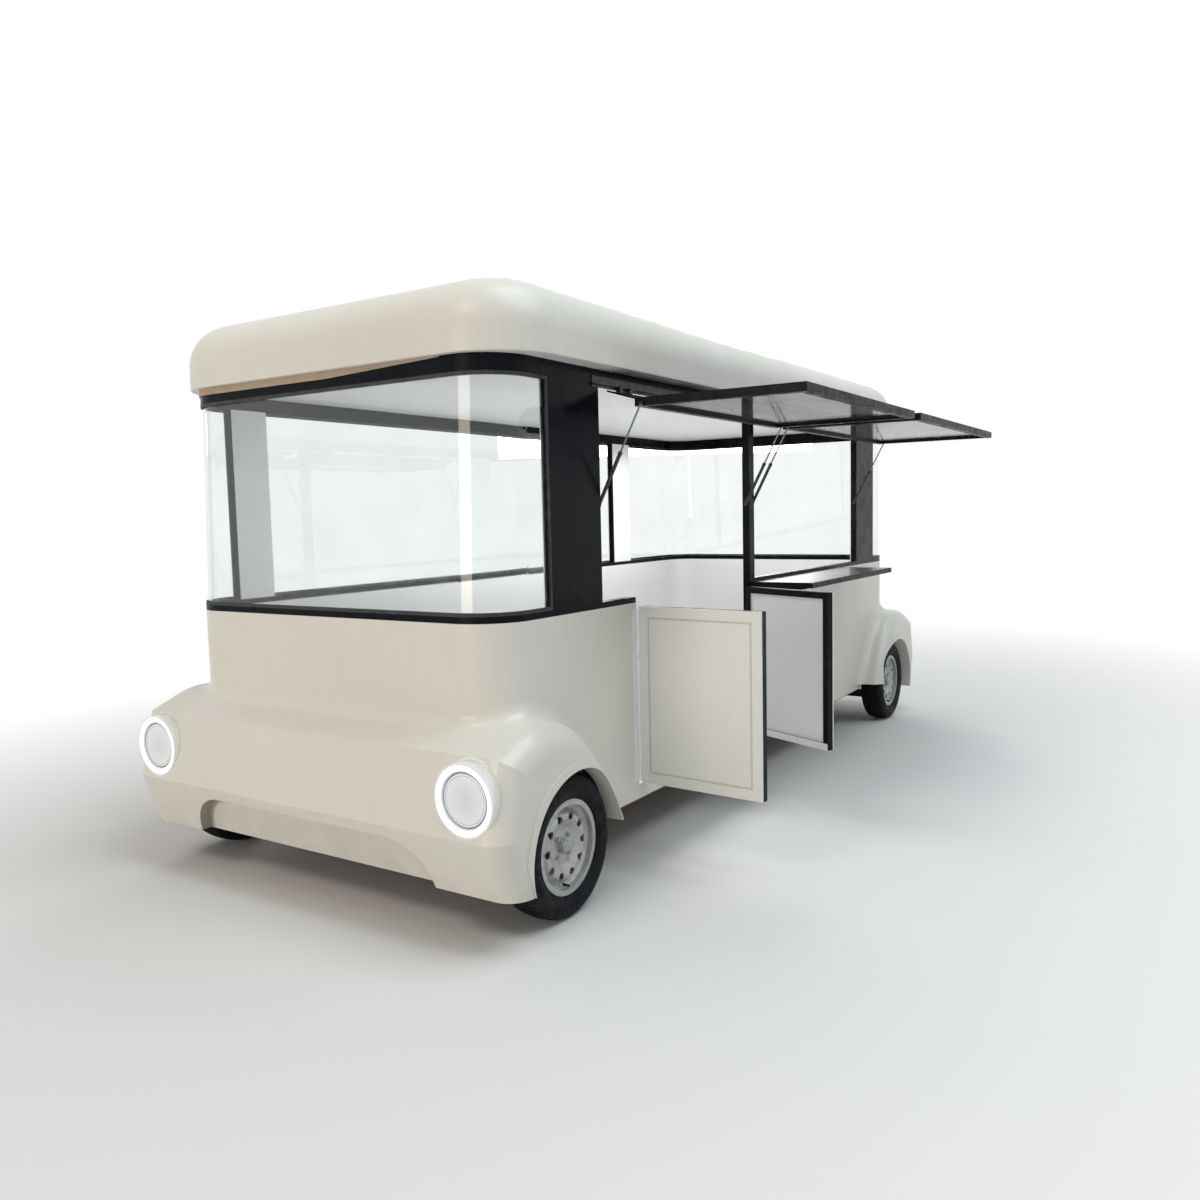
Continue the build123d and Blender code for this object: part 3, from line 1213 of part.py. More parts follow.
# Counter: a folded steel top in a dark edge frame on two wall brackets.
EDGE_X = (COUNTER_OUT_X - TRIM_T, COUNTER_OUT_X)
COUNTER_Z = (COUNTER_TOP_Z - COUNTER_H, COUNTER_TOP_Z)
SHEET_LOW_Z = COUNTER_TOP_Z - COUNTER_SHEET
BRACKET_Z = (COUNTER_Z[0] - BRACKET_DROP, COUNTER_Z[0])
with BuildPart() as counter_top:
    span_box(
        (BODY_HALF_W, EDGE_X[0]),
        (COUNTER_FRONT_Y + TRIM_T, COUNTER_REAR_Y - TRIM_T),
        (SHEET_LOW_Z, COUNTER_TOP_Z),
    )
counter_top.part.label = "counter_top"
export_step(counter_top.part, "parts/counter_top.step")

with BuildPart() as counter_frame:
    span_box(EDGE_X, (COUNTER_FRONT_Y, COUNTER_REAR_Y), COUNTER_Z)
    span_box((BODY_HALF_W, COUNTER_OUT_X), (COUNTER_FRONT_Y, COUNTER_FRONT_Y + TRIM_T), COUNTER_Z)
    span_box((BODY_HALF_W, COUNTER_OUT_X), (COUNTER_REAR_Y - TRIM_T, COUNTER_REAR_Y), COUNTER_Z)
    for y in (COUNTER_FRONT_Y + BRACKET_INSET, COUNTER_REAR_Y - BRACKET_INSET):
        with BuildSketch(Plane.XZ.offset(-y)):
            with BuildLine():
                Polyline(
                    (BODY_HALF_W, BRACKET_Z[0]),
                    (BODY_HALF_W, SHEET_LOW_Z),
                    (EDGE_X[0], SHEET_LOW_Z),
                    (EDGE_X[0], COUNTER_Z[0]),
                    (BODY_HALF_W + BRACKET_TIP, BRACKET_Z[0]),
                    close=True,
                )
            make_face()
        extrude(amount=BRACKET_T)
        span_box(
            (BODY_HALF_W, BODY_HALF_W + BRACKET_T),
            (y - (BRACKET_W + BRACKET_T) / 2, y + (BRACKET_W - BRACKET_T) / 2),
            BRACKET_Z,
        )
counter_frame.part.label = "counter_frame"
export_step(counter_frame.part, "parts/counter_frame.step")
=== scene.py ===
import bpy
import math
from mathutils import Matrix, Vector


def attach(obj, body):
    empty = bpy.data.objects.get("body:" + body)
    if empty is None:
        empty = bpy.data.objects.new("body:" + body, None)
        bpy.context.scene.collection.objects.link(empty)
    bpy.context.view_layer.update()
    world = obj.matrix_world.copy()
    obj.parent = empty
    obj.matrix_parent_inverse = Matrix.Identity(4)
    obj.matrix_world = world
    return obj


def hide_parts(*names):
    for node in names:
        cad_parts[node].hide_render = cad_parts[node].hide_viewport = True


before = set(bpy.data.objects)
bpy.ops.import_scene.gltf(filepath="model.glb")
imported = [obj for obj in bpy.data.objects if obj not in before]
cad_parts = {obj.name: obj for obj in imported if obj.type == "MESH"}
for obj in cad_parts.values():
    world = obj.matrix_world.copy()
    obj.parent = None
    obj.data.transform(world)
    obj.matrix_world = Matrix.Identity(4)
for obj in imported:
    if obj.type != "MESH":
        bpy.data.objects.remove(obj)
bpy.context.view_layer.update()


# Chassis and leaf springs: channel rails and cross members welded up under the deck, brushed
# with red-oxide primer together with the springs. Rust spots and road dust show on it.
def new_finish(name, colour, roughness, metallic=0.0):
    """A node material with its shader set to one colour, roughness and metalness."""
    material = bpy.data.materials.new(name)
    material.use_nodes = True
    shader = material.node_tree.nodes["Principled BSDF"]
    shader.inputs["Base Color"].default_value = (*colour, 1)
    shader.inputs["Roughness"].default_value = roughness
    shader.inputs["Metallic"].default_value = metallic
    return material, material.node_tree, shader


def grain(tree, scale, detail=4.0, stretch=(1, 1, 1)):
    """Noise in the object's own metres, stretched along its axes where asked."""
    place = tree.nodes.new("ShaderNodeTexCoord")
    mapping = tree.nodes.new("ShaderNodeMapping")
    mapping.inputs["Scale"].default_value = stretch
    noise = tree.nodes.new("ShaderNodeTexNoise")
    noise.inputs["Scale"].default_value = scale
    noise.inputs["Detail"].default_value = detail
    tree.links.new(place.outputs["Object"], mapping.inputs["Vector"])
    tree.links.new(mapping.outputs["Vector"], noise.inputs["Vector"])
    return noise.outputs["Fac"]


def spread(tree, value, low, high, start, end):
    """Maps a value from low..high to start..end, held at both ends."""
    node = tree.nodes.new("ShaderNodeMapRange")
    node.inputs["From Min"].default_value = low
    node.inputs["From Max"].default_value = high
    node.inputs["To Min"].default_value = start
    node.inputs["To Max"].default_value = end
    tree.links.new(value, node.inputs["Value"])
    return node.outputs["Result"]


def patches(tree, low, high, amount, *noise):
    """Patches of noise: 0 where it is under low, rising to amount where it is over high."""
    return spread(tree, grain(tree, *noise), low, high, 0, amount)


def blend_colour(tree, amount, first, second):
    """Mixes two colours, each a plain triple or another node's output, by amount."""
    node = tree.nodes.new("ShaderNodeMix")
    node.data_type = "RGBA"
    tree.links.new(amount, node.inputs["Factor"])
    for name, colour in (("A", first), ("B", second)):
        socket = [s for s in node.inputs if s.name == name and s.type == "RGBA"][0]
        if isinstance(colour, tuple):
            socket.default_value = (*colour, 1)
        else:
            tree.links.new(colour, socket)
    return [s for s in node.outputs if s.type == "RGBA"][0]


def sum_of(tree, kind, first, second=0):
    """One step of arithmetic; either side may be a number or a node's output."""
    node = tree.nodes.new("ShaderNodeMath")
    node.operation = kind
    for socket, value in zip(node.inputs, (first, second)):
        if isinstance(value, (int, float)):
            socket.default_value = value
        else:
            tree.links.new(value, socket)
    return node.outputs[0]


def relief(tree, shader, height, depth):
    """Bumps the surface by a height value, depth metres at most."""
    bump = tree.nodes.new("ShaderNodeBump")
    bump.inputs["Strength"].default_value = 1.0
    bump.inputs["Distance"].default_value = depth
    tree.links.new(height, bump.inputs["Height"])
    tree.links.new(bump.outputs["Normal"], shader.inputs["Normal"])


def paint(tree, shader, colour):
    """Gives the shader its colour from another node's output."""
    tree.links.new(colour, shader.inputs["Base Color"])


def vary_gloss(tree, shader, low, high, *noise):
    """Roughness from low to high, by noise of a scale, detail and stretch."""
    tree.links.new(spread(tree, grain(tree, *noise), 0.3, 0.7, low, high), shader.inputs["Roughness"])


def dress(material, *nodes):
    """Puts a material on every slot of the named CAD nodes."""
    for node in nodes:
        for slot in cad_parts[node].material_slots:
            slot.material = material


RED_OXIDE = (0.24, 0.050, 0.030)
THIN_OXIDE = (0.33, 0.115, 0.075)
RUST = (0.09, 0.032, 0.015)
ROAD_DUST = (0.30, 0.26, 0.21)
primer, tree, shader = new_finish("red_oxide_primer", RED_OXIDE, 0.7)
streaks = patches(tree, 0.42, 0.66, 1, 26, 6, (1, 0.15, 1))
colour = blend_colour(tree, streaks, RED_OXIDE, THIN_OXIDE)
colour = blend_colour(tree, patches(tree, 0.57, 0.68, 0.9, 44, 8), colour, RUST)
colour = blend_colour(tree, patches(tree, 0.46, 0.76, 0.5, 5, 6), colour, ROAD_DUST)
paint(tree, shader, colour)
vary_gloss(tree, shader, 0.55, 0.85, 18, 5)
relief(tree, shader, grain(tree, 170, 4, (1, 0.2, 1)), 0.0004)
dress(primer, "chassis", "leaf_springs")

# Axles, spring clamps, steering knuckles and tie rod: forged steel in thin black paint, with
# patches of road dust and bare brown spots where stones have struck.
BLACK_STEEL = (0.022, 0.022, 0.024)
BARE_STEEL = (0.11, 0.085, 0.065)
forged, tree, shader = new_finish("black_forged_steel", BLACK_STEEL, 0.5)
colour = blend_colour(tree, patches(tree, 0.6, 0.7, 0.8, 60, 8), BLACK_STEEL, BARE_STEEL)
colour = blend_colour(tree, patches(tree, 0.48, 0.74, 0.45, 7, 6), colour, ROAD_DUST)
paint(tree, shader, colour)
vary_gloss(tree, shader, 0.36, 0.7, 22, 5)
relief(tree, shader, grain(tree, 420, 3), 0.0003)
dress(forged, "spring_bolts", "front_axle", "rear_axle")
dress(forged, "knuckle_left", "knuckle_right", "tie_rod")


# Clamp nuts: plated hexagon nuts that draw the spring clamps together, one at each end of
# every stud. Each is turned from a six-sided ring with a chamfered top.
def draw_out(step):
    """Extrudes what is selected by a step."""
    bpy.ops.mesh.extrude_region_move(TRANSFORM_OT_translate={"value": step})


def turned(name, axis, spot, sides, profile):
    """One ring of edges, drawn along an axis from spot through (reach, radius) steps."""
    along = {"X": Vector((1, 0, 0)), "Y": Vector((0, 1, 0)), "Z": Vector((0, 0, 1))}[axis]
    lay = {"X": (0, math.pi / 2, 0), "Y": (math.pi / 2, 0, 0), "Z": (0, 0, 0)}[axis]
    spot = Vector(spot)
    reach, radius = profile[0]
    bpy.ops.object.select_all(action="DESELECT")
    bpy.ops.mesh.primitive_circle_add(
        vertices=sides, radius=radius, location=spot + reach * along, rotation=lay
    )
    piece = bpy.context.object
    piece.name = name
    bpy.ops.object.transform_apply(location=True, rotation=True, scale=True)
    bpy.ops.object.mode_set(mode="EDIT")
    bpy.ops.mesh.select_mode(type="VERT")
    bpy.ops.mesh.select_all(action="SELECT")
    for next_reach, next_radius in profile[1:]:
        step = (next_reach - reach) * along
        draw_out(step)
        grow = next_radius / radius
        bpy.ops.transform.resize(
            value=[1 if v else grow for v in along], center_override=spot + next_reach * along
        )
        reach, radius = next_reach, next_radius
    return piece


def close_piece(piece, smooth=35):
    """Merges doubles, fills open ends, turns the faces outwards and leaves edit mode, smoothed."""
    bpy.ops.mesh.select_all(action="SELECT")
    bpy.ops.mesh.remove_doubles(threshold=0.00001)
    bpy.ops.mesh.fill_holes(sides=0)
    bpy.ops.mesh.select_all(action="SELECT")
    bpy.ops.mesh.normals_make_consistent(inside=False)
    bpy.ops.object.mode_set(mode="OBJECT")
    bpy.ops.object.shade_smooth_by_angle(angle=math.radians(smooth))


def copied(piece, name, turn=0.0, axis=(0, 0, 1), place=(0, 0, 0)):
    """A copy with its own mesh, turned about the origin and set at place."""
    twin = piece.copy()
    twin.data = piece.data.copy()
    twin.name = name
    bpy.context.collection.objects.link(twin)
    twin.matrix_world = Matrix.Translation(place) @ Matrix.Rotation(turn, 4, Vector(axis))
    bpy.ops.object.select_all(action="DESELECT")
    twin.select_set(True)
    bpy.context.view_layer.objects.active = twin
    bpy.ops.object.transform_apply(location=True, rotation=True, scale=True)
    return twin


def joined(name, pieces):
    """Several pieces made one object."""
    bpy.ops.object.select_all(action="DESELECT")
    for piece in pieces:
        piece.select_set(True)
    bpy.context.view_layer.objects.active = pieces[0]
    bpy.ops.object.join()
    pieces[0].name = name
    return pieces[0]


def worn_coat(name, base, worn, roughness, metallic=0.0, *, wear, gloss, bumps, specular=0.5):
    """One colour worn in patches to another, with uneven gloss and fine bumps (depth, then noise)."""
    material, tree, shader = new_finish(name, base, roughness, metallic)
    paint(tree, shader, blend_colour(tree, patches(tree, *wear), base, worn))
    vary_gloss(tree, shader, *gloss)
    relief(tree, shader, grain(tree, *bumps[1:]), bumps[0])
    shader.inputs["Specular IOR Level"].default_value = specular
    return material


NUT_R = 0.0085
NUT_BORE_R = 0.0045
NUT_TALL = 0.008
nut = turned("clamp_nut", "Z", (0, 0, 0), 6, [
    (0, NUT_R), (NUT_TALL * 0.8, NUT_R), (NUT_TALL, NUT_R * 0.85), (NUT_TALL, NUT_BORE_R),
])
close_piece(nut, 20)
ZINC = (0.42, 0.42, 0.40)
zinc = worn_coat(
    "dull_zinc", ZINC, (0.16, 0.13, 0.10), 0.45, 0.9,
    wear=(0.45, 0.7, 0.8, 90, 6), gloss=(0.35, 0.65, 60, 4), bumps=(0.0001, 600, 2),
)
AXLE_Y = 2.050
SPRING_X = 0.420
STUD_X = 0.030
STUD_Y = 0.033
CLAMP_TOP = 0.222
CLAMP_LOW = 0.132
nuts = []
for side in (-1, 1):
    for end in (-1, 1):
        for dx in (-STUD_X, STUD_X):
            for dy in (-STUD_Y, STUD_Y):
                at = (side * SPRING_X + dx, end * AXLE_Y + dy)
                nuts.append(copied(nut, "clamp_nut", place=(*at, CLAMP_TOP)))
                nuts.append(copied(nut, "clamp_nut", math.pi, (1, 0, 0), (*at, CLAMP_LOW)))
bpy.data.objects.remove(nut)
clamp_nuts = joined("clamp_nuts", nuts)
clamp_nuts.data.materials.append(zinc)
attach(clamp_nuts, "body")


# Tyres: moulded rubber on the bead seats, with a rim guard and fine ribs on each wall, three
# grooves round the tread and slots pressed into the shoulders and the middle ribs.
def pick(piece, kind, test):
    """Selects the faces, edges or points of a piece in edit mode whose middle passes a test."""
    bpy.ops.mesh.select_all(action="DESELECT")
    bpy.ops.mesh.select_mode(type=kind)
    bpy.ops.object.mode_set(mode="OBJECT")
    mesh = piece.data
    if kind == "FACE":
        for face in mesh.polygons:
            face.select = bool(test(face.center))
    elif kind == "EDGE":
        for edge in mesh.edges:
            first, second = [mesh.vertices[i].co for i in edge.vertices]
            edge.select = bool(test((first + second) / 2))
    else:
        for point in mesh.vertices:
            point.select = bool(test(point.co))
    bpy.ops.object.mode_set(mode="EDIT")


WHEEL_X = 0.932
AXLE_Z = 0.274
TREAD_SIDES = 200
SLOT_EVERY = 5
SHOULDER = (0.046, 0.060, 0.2665)
RIB = (0.008, 0.0235, 0.272)
wall = [
    (0.057, 0.166), (0.057, 0.180), (0.0595, 0.1835), (0.0665, 0.1865), (0.0690, 0.1900),
    (0.0690, 0.1935), (0.0725, 0.1960), (0.0765, 0.2080), (0.0780, 0.2200), (0.0770, 0.2205),
    (0.0772, 0.2235), (0.0783, 0.2240), (0.0780, 0.2320), (0.0768, 0.2325), (0.0760, 0.2360),
    (0.0766, 0.2365), (0.0735, 0.2480), (0.0690, 0.2575), (0.0640, 0.2632), (0.0585, 0.2668),
    (0.0570, 0.2682), (0.0400, 0.2712),
]
tread = [
    (0.0300, 0.2722), (0.0290, 0.2660), (0.0250, 0.2660), (0.0240, 0.2728), (0.0130, 0.2736),
    (0.0030, 0.2739), (0.0024, 0.2672),
]
half = wall + tread
outline = [(-x, r) for x, r in half] + [(x, r) for x, r in reversed(half)]
outline += [(0.045, 0.166), (0.040, 0.185), (0, 0.230), (-0.040, 0.185), (-0.045, 0.166)]
outline += outline[:1]
tyre = turned("tyre", "X", (0, 0, 0), TREAD_SIDES, outline)
bpy.ops.mesh.select_all(action="SELECT")
bpy.ops.mesh.remove_doubles(threshold=0.00001)
bpy.ops.mesh.normals_make_consistent(inside=False)


def tread_step(middle):
    """Place of a face within one repeat of the tread."""
    return round(math.atan2(middle.z, middle.y) / (2 * math.pi) * TREAD_SIDES - 0.5) % SLOT_EVERY


def on_tread(middle, near, far, radius):
    """True for a face between two distances from the wheel's mid plane, outside a radius."""
    return near < abs(middle.x) < far and math.hypot(middle.y, middle.z) > radius


def shoulder_slot(middle):
    """True for the faces that are pressed in on the shoulders, out of step on the two sides."""
    return on_tread(middle, *SHOULDER) and tread_step(middle) == (0 if middle.x > 0 else 2)


def rib_slot(middle):
    """True for the faces that are pressed in on the two middle ribs."""
    return on_tread(middle, *RIB) and tread_step(middle) == 4


pick(tyre, "FACE", shoulder_slot)
bpy.ops.mesh.inset(thickness=0.0006, depth=-0.004)
pick(tyre, "FACE", rib_slot)
bpy.ops.mesh.inset(thickness=0.0008, depth=-0.003)
close_piece(tyre, 28)

RUBBER = (0.0055, 0.0070, 0.0100)
SCUFFED = (0.016, 0.018, 0.021)
rubber, tree, shader = new_finish("tyre_rubber", RUBBER, 0.6)
scuffs = patches(tree, 0.46, 0.7, 0.8, 30, 7)
colour = blend_colour(tree, scuffs, RUBBER, SCUFFED)
colour = blend_colour(tree, patches(tree, 0.55, 0.8, 0.06, 6, 5), colour, ROAD_DUST)
paint(tree, shader, colour)
vary_gloss(tree, shader, 0.48, 0.8, 40, 5)
shader.inputs["Specular IOR Level"].default_value = 0.14
relief(tree, shader, grain(tree, 700, 2), 0.00015)
tyre.data.materials.append(rubber)
CORNERS = [
    (f"{place}_{hand}", side * WHEEL_X, end * AXLE_Y)
    for end, place in ((-1, "front"), (1, "rear"))
    for side, hand in ((-1, "left"), (1, "right"))
]
for corner, x, y in CORNERS:
    fitted = copied(tyre, f"tyre_{corner}_moulded", place=(x, y, AXLE_Z))
    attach(fitted, f"wheel_{corner}")
    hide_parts(f"tyre_{corner}")
bpy.data.objects.remove(tyre)

# Rims and hubs: pressed steel discs in silver-grey lacquer, dulled in patches by brake dust, over
# an iron hub that is painted grey with its wheel nuts and grease cap.
SILVER = (0.46, 0.465, 0.455)
BRAKE_DUST = (0.085, 0.072, 0.060)
lacquer, tree, shader = new_finish("silver_lacquer", SILVER, 0.4, 0.35)
colour = blend_colour(tree, patches(tree, 0.5, 0.78, 0.55, 34, 6), SILVER, BRAKE_DUST)
flake = patches(tree, 0.35, 0.65, 0.25, 900, 1)
paint(tree, shader, blend_colour(tree, flake, colour, (0.52, 0.53, 0.53)))
vary_gloss(tree, shader, 0.3, 0.55, 26, 5)
relief(tree, shader, grain(tree, 350, 2), 0.00015)
HUB_GREY = (0.42, 0.425, 0.415)
hub_iron = worn_coat(
    "hub_paint", HUB_GREY, BRAKE_DUST, 0.45, 0.35,
    wear=(0.52, 0.74, 0.6, 70, 7), gloss=(0.35, 0.65, 45, 5), bumps=(0.0002, 500, 2),
)
for corner, x, y in CORNERS:
    dress(lacquer, f"rim_{corner}")
    dress(hub_iron, f"hub_{corner}")

# Tyre valves: a rubber stem through each rim, with a ribbed cap on its end.
# One is turned to its profile and copied to all four wheels, pointing outwards.
VALVE_R = 0.151
valve = turned("valve", "X", (0, 0, 0), 14, [
    (0.026, 0.0058), (0.034, 0.0052), (0.046, 0.0042), (0.047, 0.0050), (0.0500, 0.0050),
    (0.0505, 0.0043), (0.0515, 0.0043), (0.0520, 0.0050), (0.0560, 0.0048), (0.0570, 0.0036),
    (0.0572, 0.0008),
])
close_piece(valve, 40)
valve.data.materials.append(rubber)
for corner, x, y in CORNERS:
    hand = 0 if x > 0 else math.pi
    stem = copied(valve, f"valve_{corner}", hand, (0, 0, 1), (x, y, AXLE_Z - VALVE_R))
    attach(stem, f"wheel_{corner}")
bpy.data.objects.remove(valve)


# Wheel houses: half barrels of grained black plastic inside the fenders, spattered from below
# and painted white on the side that shows in the cabin.
def axis_value(tree, name):
    """One of the object's own coordinates, in metres."""
    place = tree.nodes.new("ShaderNodeTexCoord")
    split = tree.nodes.new("ShaderNodeSeparateXYZ")
    tree.links.new(place.outputs["Object"], split.inputs["Vector"])
    return split.outputs[name]


def away(tree, name):
    """Distance from the middle of the cart along one axis."""
    return sum_of(tree, "ABSOLUTE", axis_value(tree, name))


def root_of_squares(tree, first, second):
    """Length of the slope over two legs at right angles."""
    first = sum_of(tree, "MULTIPLY", first, first)
    second = sum_of(tree, "MULTIPLY", second, second)
    return sum_of(tree, "SQRT", sum_of(tree, "ADD", first, second))


LINER_R = 0.325
LINER_T = 0.007
LINER_INNER_X = 0.690
BLACK_PLASTIC = (0.017, 0.017, 0.018)
CABIN_WHITE = (0.80, 0.805, 0.79)
liner, tree, shader = new_finish("grained_black_plastic", BLACK_PLASTIC, 0.6)
along = sum_of(tree, "SUBTRACT", away(tree, "Y"), AXLE_Y)
rise = sum_of(tree, "SUBTRACT", axis_value(tree, "Z"), AXLE_Z)
from_axle = root_of_squares(tree, along, rise)
barrel_mid = LINER_R - LINER_T / 2
barrel = spread(tree, from_axle, barrel_mid, barrel_mid + 0.001, 0, 1)
end_mid = LINER_INNER_X + LINER_T / 2
end_face = spread(tree, away(tree, "X"), end_mid, end_mid + 0.001, 1, 0)
spatter = patches(tree, 0.52, 0.66, 0.7, 24, 8)
colour = blend_colour(tree, spatter, BLACK_PLASTIC, ROAD_DUST)
cabin_side = sum_of(tree, "MAXIMUM", barrel, end_face)
paint(tree, shader, blend_colour(tree, cabin_side, colour, CABIN_WHITE))
vary_gloss(tree, shader, 0.5, 0.8, 30, 5)
relief(tree, shader, grain(tree, 380, 3), 0.0004)
dress(liner, "wheel_houses")

# Floor deck: ply on the chassis, covered with grey speckled sheet that has small raised studs
# against slipping and darker trodden patches.
SHEET_GREY = (0.20, 0.205, 0.21)
covering, tree, shader = new_finish("studded_floor_sheet", SHEET_GREY, 0.55)
speckle = patches(tree, 0.56, 0.62, 0.6, 320, 2)
colour = blend_colour(tree, speckle, SHEET_GREY, (0.42, 0.42, 0.41))
trodden = patches(tree, 0.45, 0.72, 0.5, 3, 5)
paint(tree, shader, blend_colour(tree, trodden, colour, (0.10, 0.10, 0.10)))
vary_gloss(tree, shader, 0.42, 0.68, 14, 5)
place = tree.nodes.new("ShaderNodeTexCoord")
studs = tree.nodes.new("ShaderNodeTexVoronoi")
studs.inputs["Scale"].default_value = 32.0
studs.inputs["Randomness"].default_value = 0.0
tree.links.new(place.outputs["Object"], studs.inputs["Vector"])
relief(tree, shader, spread(tree, studs.outputs["Distance"], 0.22, 0.3, 1, 0), 0.0012)
dress(covering, "floor_deck")

# Body shells and side walls: glass-fibre mouldings in cream gelcoat, sanded and painted white
# on the inside. The skin is slightly wavy, with an orange peel, polishing haze and low dust.
CORE_X = 0.688
CORE_Y = 2.112
WALL_MID_R = 0.180
SPLASH_Z = (0.19, 0.42)
CREAM = (0.785, 0.765, 0.705)
CREAM_DEEP = (0.755, 0.732, 0.668)
LOW_DUST = (0.50, 0.47, 0.42)


def distance_from_core(tree):
    """Plan distance from the lines about which the body's corners are rounded."""
    across = away(tree, "X")
    along = away(tree, "Y")
    across = sum_of(tree, "MAXIMUM", sum_of(tree, "SUBTRACT", across, CORE_X), 0)
    along = sum_of(tree, "MAXIMUM", sum_of(tree, "SUBTRACT", along, CORE_Y), 0)
    return root_of_squares(tree, across, along)


def cream_coat(name, pale, deep, *marks):
    """Gelcoat between a pale and a deeper cream; each mark is a mask function and its colour."""
    material, tree, shader = new_finish(name, pale, 0.34)
    haze = patches(tree, 0.36, 0.68, 1, 1.6, 3)
    colour = blend_colour(tree, haze, pale, deep)
    stain = patches(tree, 0.6, 0.8, 0.10, 11, 7, (1, 1, 0.3))
    colour = blend_colour(tree, stain, colour, LOW_DUST)
    low = spread(tree, axis_value(tree, "Z"), *SPLASH_Z, 0.30, 0)
    patch = spread(tree, grain(tree, 9, 6), 0.38, 0.68, 0.1, 1)
    colour = blend_colour(tree, sum_of(tree, "MULTIPLY", low, patch), colour, LOW_DUST)
    for mask, mark in marks:
        colour = blend_colour(tree, mask(tree), colour, mark)
    paint(tree, shader, colour)
    vary_gloss(tree, shader, 0.28, 0.46, 6, 5)
    shader.inputs["Coat Weight"].default_value = 0.22
    shader.inputs["Coat Roughness"].default_value = 0.14
    waves = sum_of(tree, "MULTIPLY", grain(tree, 5, 2), 6.0)
    relief(tree, shader, sum_of(tree, "ADD", waves, grain(tree, 240, 2)), 0.00022)
    return material


def within_walls(tree):
    """1 on the faces inside the walls, 0 outside."""
    return spread(tree, distance_from_core(tree), WALL_MID_R - 0.002, WALL_MID_R + 0.002, 1, 0)


RECESS_BEND_X = 0.4806
RECESS_BEND_Z = 0.165
RECESS_BEND_R = 0.200
NOSE_Y = 2.20
RECESS_PAINTED_SHADE = (0.27, 0.23, 0.19)


def under_recess_edge(tree):
    """Painted shade mask: 1 in the corner under the edge of the bumper recess, fading out below it."""
    across = sum_of(tree, "SUBTRACT", away(tree, "X"), RECESS_BEND_X)
    across = sum_of(tree, "MAXIMUM", across, 0)
    rise = sum_of(tree, "SUBTRACT", axis_value(tree, "Z"), RECESS_BEND_Z)
    reach = root_of_squares(tree, across, rise)
    below = spread(tree, reach, RECESS_BEND_R - 0.030, RECESS_BEND_R - 0.018, 0, 0.75)
    within = spread(tree, reach, RECESS_BEND_R - 0.001, RECESS_BEND_R, 1, 0)
    at_end = spread(tree, away(tree, "Y"), NOSE_Y, NOSE_Y + 0.02, 0, 1)
    return sum_of(tree, "MULTIPLY", at_end, sum_of(tree, "MULTIPLY", below, within))


walls_white = (within_walls, CABIN_WHITE)
# Painted shade darkens the corner under the top edge of the bumper recess at each end.
painted_recess_shade = (under_recess_edge, RECESS_PAINTED_SHADE)
gelcoat = cream_coat("cream_gelcoat_shell", CREAM, CREAM_DEEP, walls_white, painted_recess_shade)
dress(gelcoat, "front_shell", "rear_shell", "right_wall", "left_wall")

# Window band: one welded frame of sill rail, header, pillars and door post, sprayed gloss
# black. The paint shows a slight peel, polish marks and a film of dust.
BAND_BLACK = (0.0035, 0.0045, 0.0075)
FILM = (0.012, 0.014, 0.018)
band_paint = worn_coat(
    "gloss_black_band", BAND_BLACK, FILM, 0.22,
    wear=(0.45, 0.75, 0.45, 4, 6), gloss=(0.16, 0.4, 12, 6), bumps=(0.0002, 210, 2), specular=0.07,
)
dress(band_paint, "upper_frame")

# Panes: clear acrylic sheet, bent round the corners at both ends of the cart. Wiping has left
# faint smears and a little haze along the lower edge.
PANE_LOW = 1.160
PANE_HIGH = 2.040
PANE_TINT = (0.93, 0.96, 0.955)
clear, tree, shader = new_finish("clear_pane", PANE_TINT, 0.02)
shader.inputs["Transmission Weight"].default_value = 1.0
shader.inputs["IOR"].default_value = 1.45
smear = patches(tree, 0.5, 0.8, 0.05, 7, 6, (1, 1, 0.35))
settled = spread(tree, axis_value(tree, "Z"), PANE_LOW, PANE_LOW + 0.29, 0.05, 0)
tree.links.new(sum_of(tree, "ADD", smear, settled), shader.inputs["Roughness"])
haze = patches(tree, 0.4, 0.8, 1, 3, 5)
paint(tree, shader, blend_colour(tree, haze, PANE_TINT, (0.88, 0.91, 0.91)))
dress(clear, "front_window", "rear_window", "left_window")


# Pane beads: black rubber strip pressed into the step between frame and glass. The end panes
# have a bent strip along the top and the bottom and an upright at each end; the far-side pane
# has four straight strips.
def edge_softened(piece, width):
    """Rounds every sharp edge of a piece in object mode."""
    bpy.ops.object.select_all(action="DESELECT")
    piece.select_set(True)
    bpy.context.view_layer.objects.active = piece
    bevel = piece.modifiers.new("edge", "BEVEL")
    bevel.width = width
    bevel.segments = 2
    bevel.limit_method = "ANGLE"
    bpy.ops.object.modifier_apply(modifier="edge")


def started(shape, name, middle, size, turn=(0, 0, 0)):
    """A plane or a cube drawn to size about its middle, with its transforms applied."""
    add = {"plane": bpy.ops.mesh.primitive_plane_add, "cube": bpy.ops.mesh.primitive_cube_add}[shape]
    bpy.ops.object.select_all(action="DESELECT")
    add(size=1, location=middle, rotation=turn)
    piece = bpy.context.object
    piece.name = name
    piece.scale = size
    bpy.ops.object.transform_apply(location=True, rotation=True, scale=True)
    return piece


BEAD_W = 0.014
BEAD_D = 0.009
BEAD_SOFT = 0.002
FACE_X = 0.888
BAND_R = 0.200
UPRIGHT = (math.pi / 2, 0, 0)


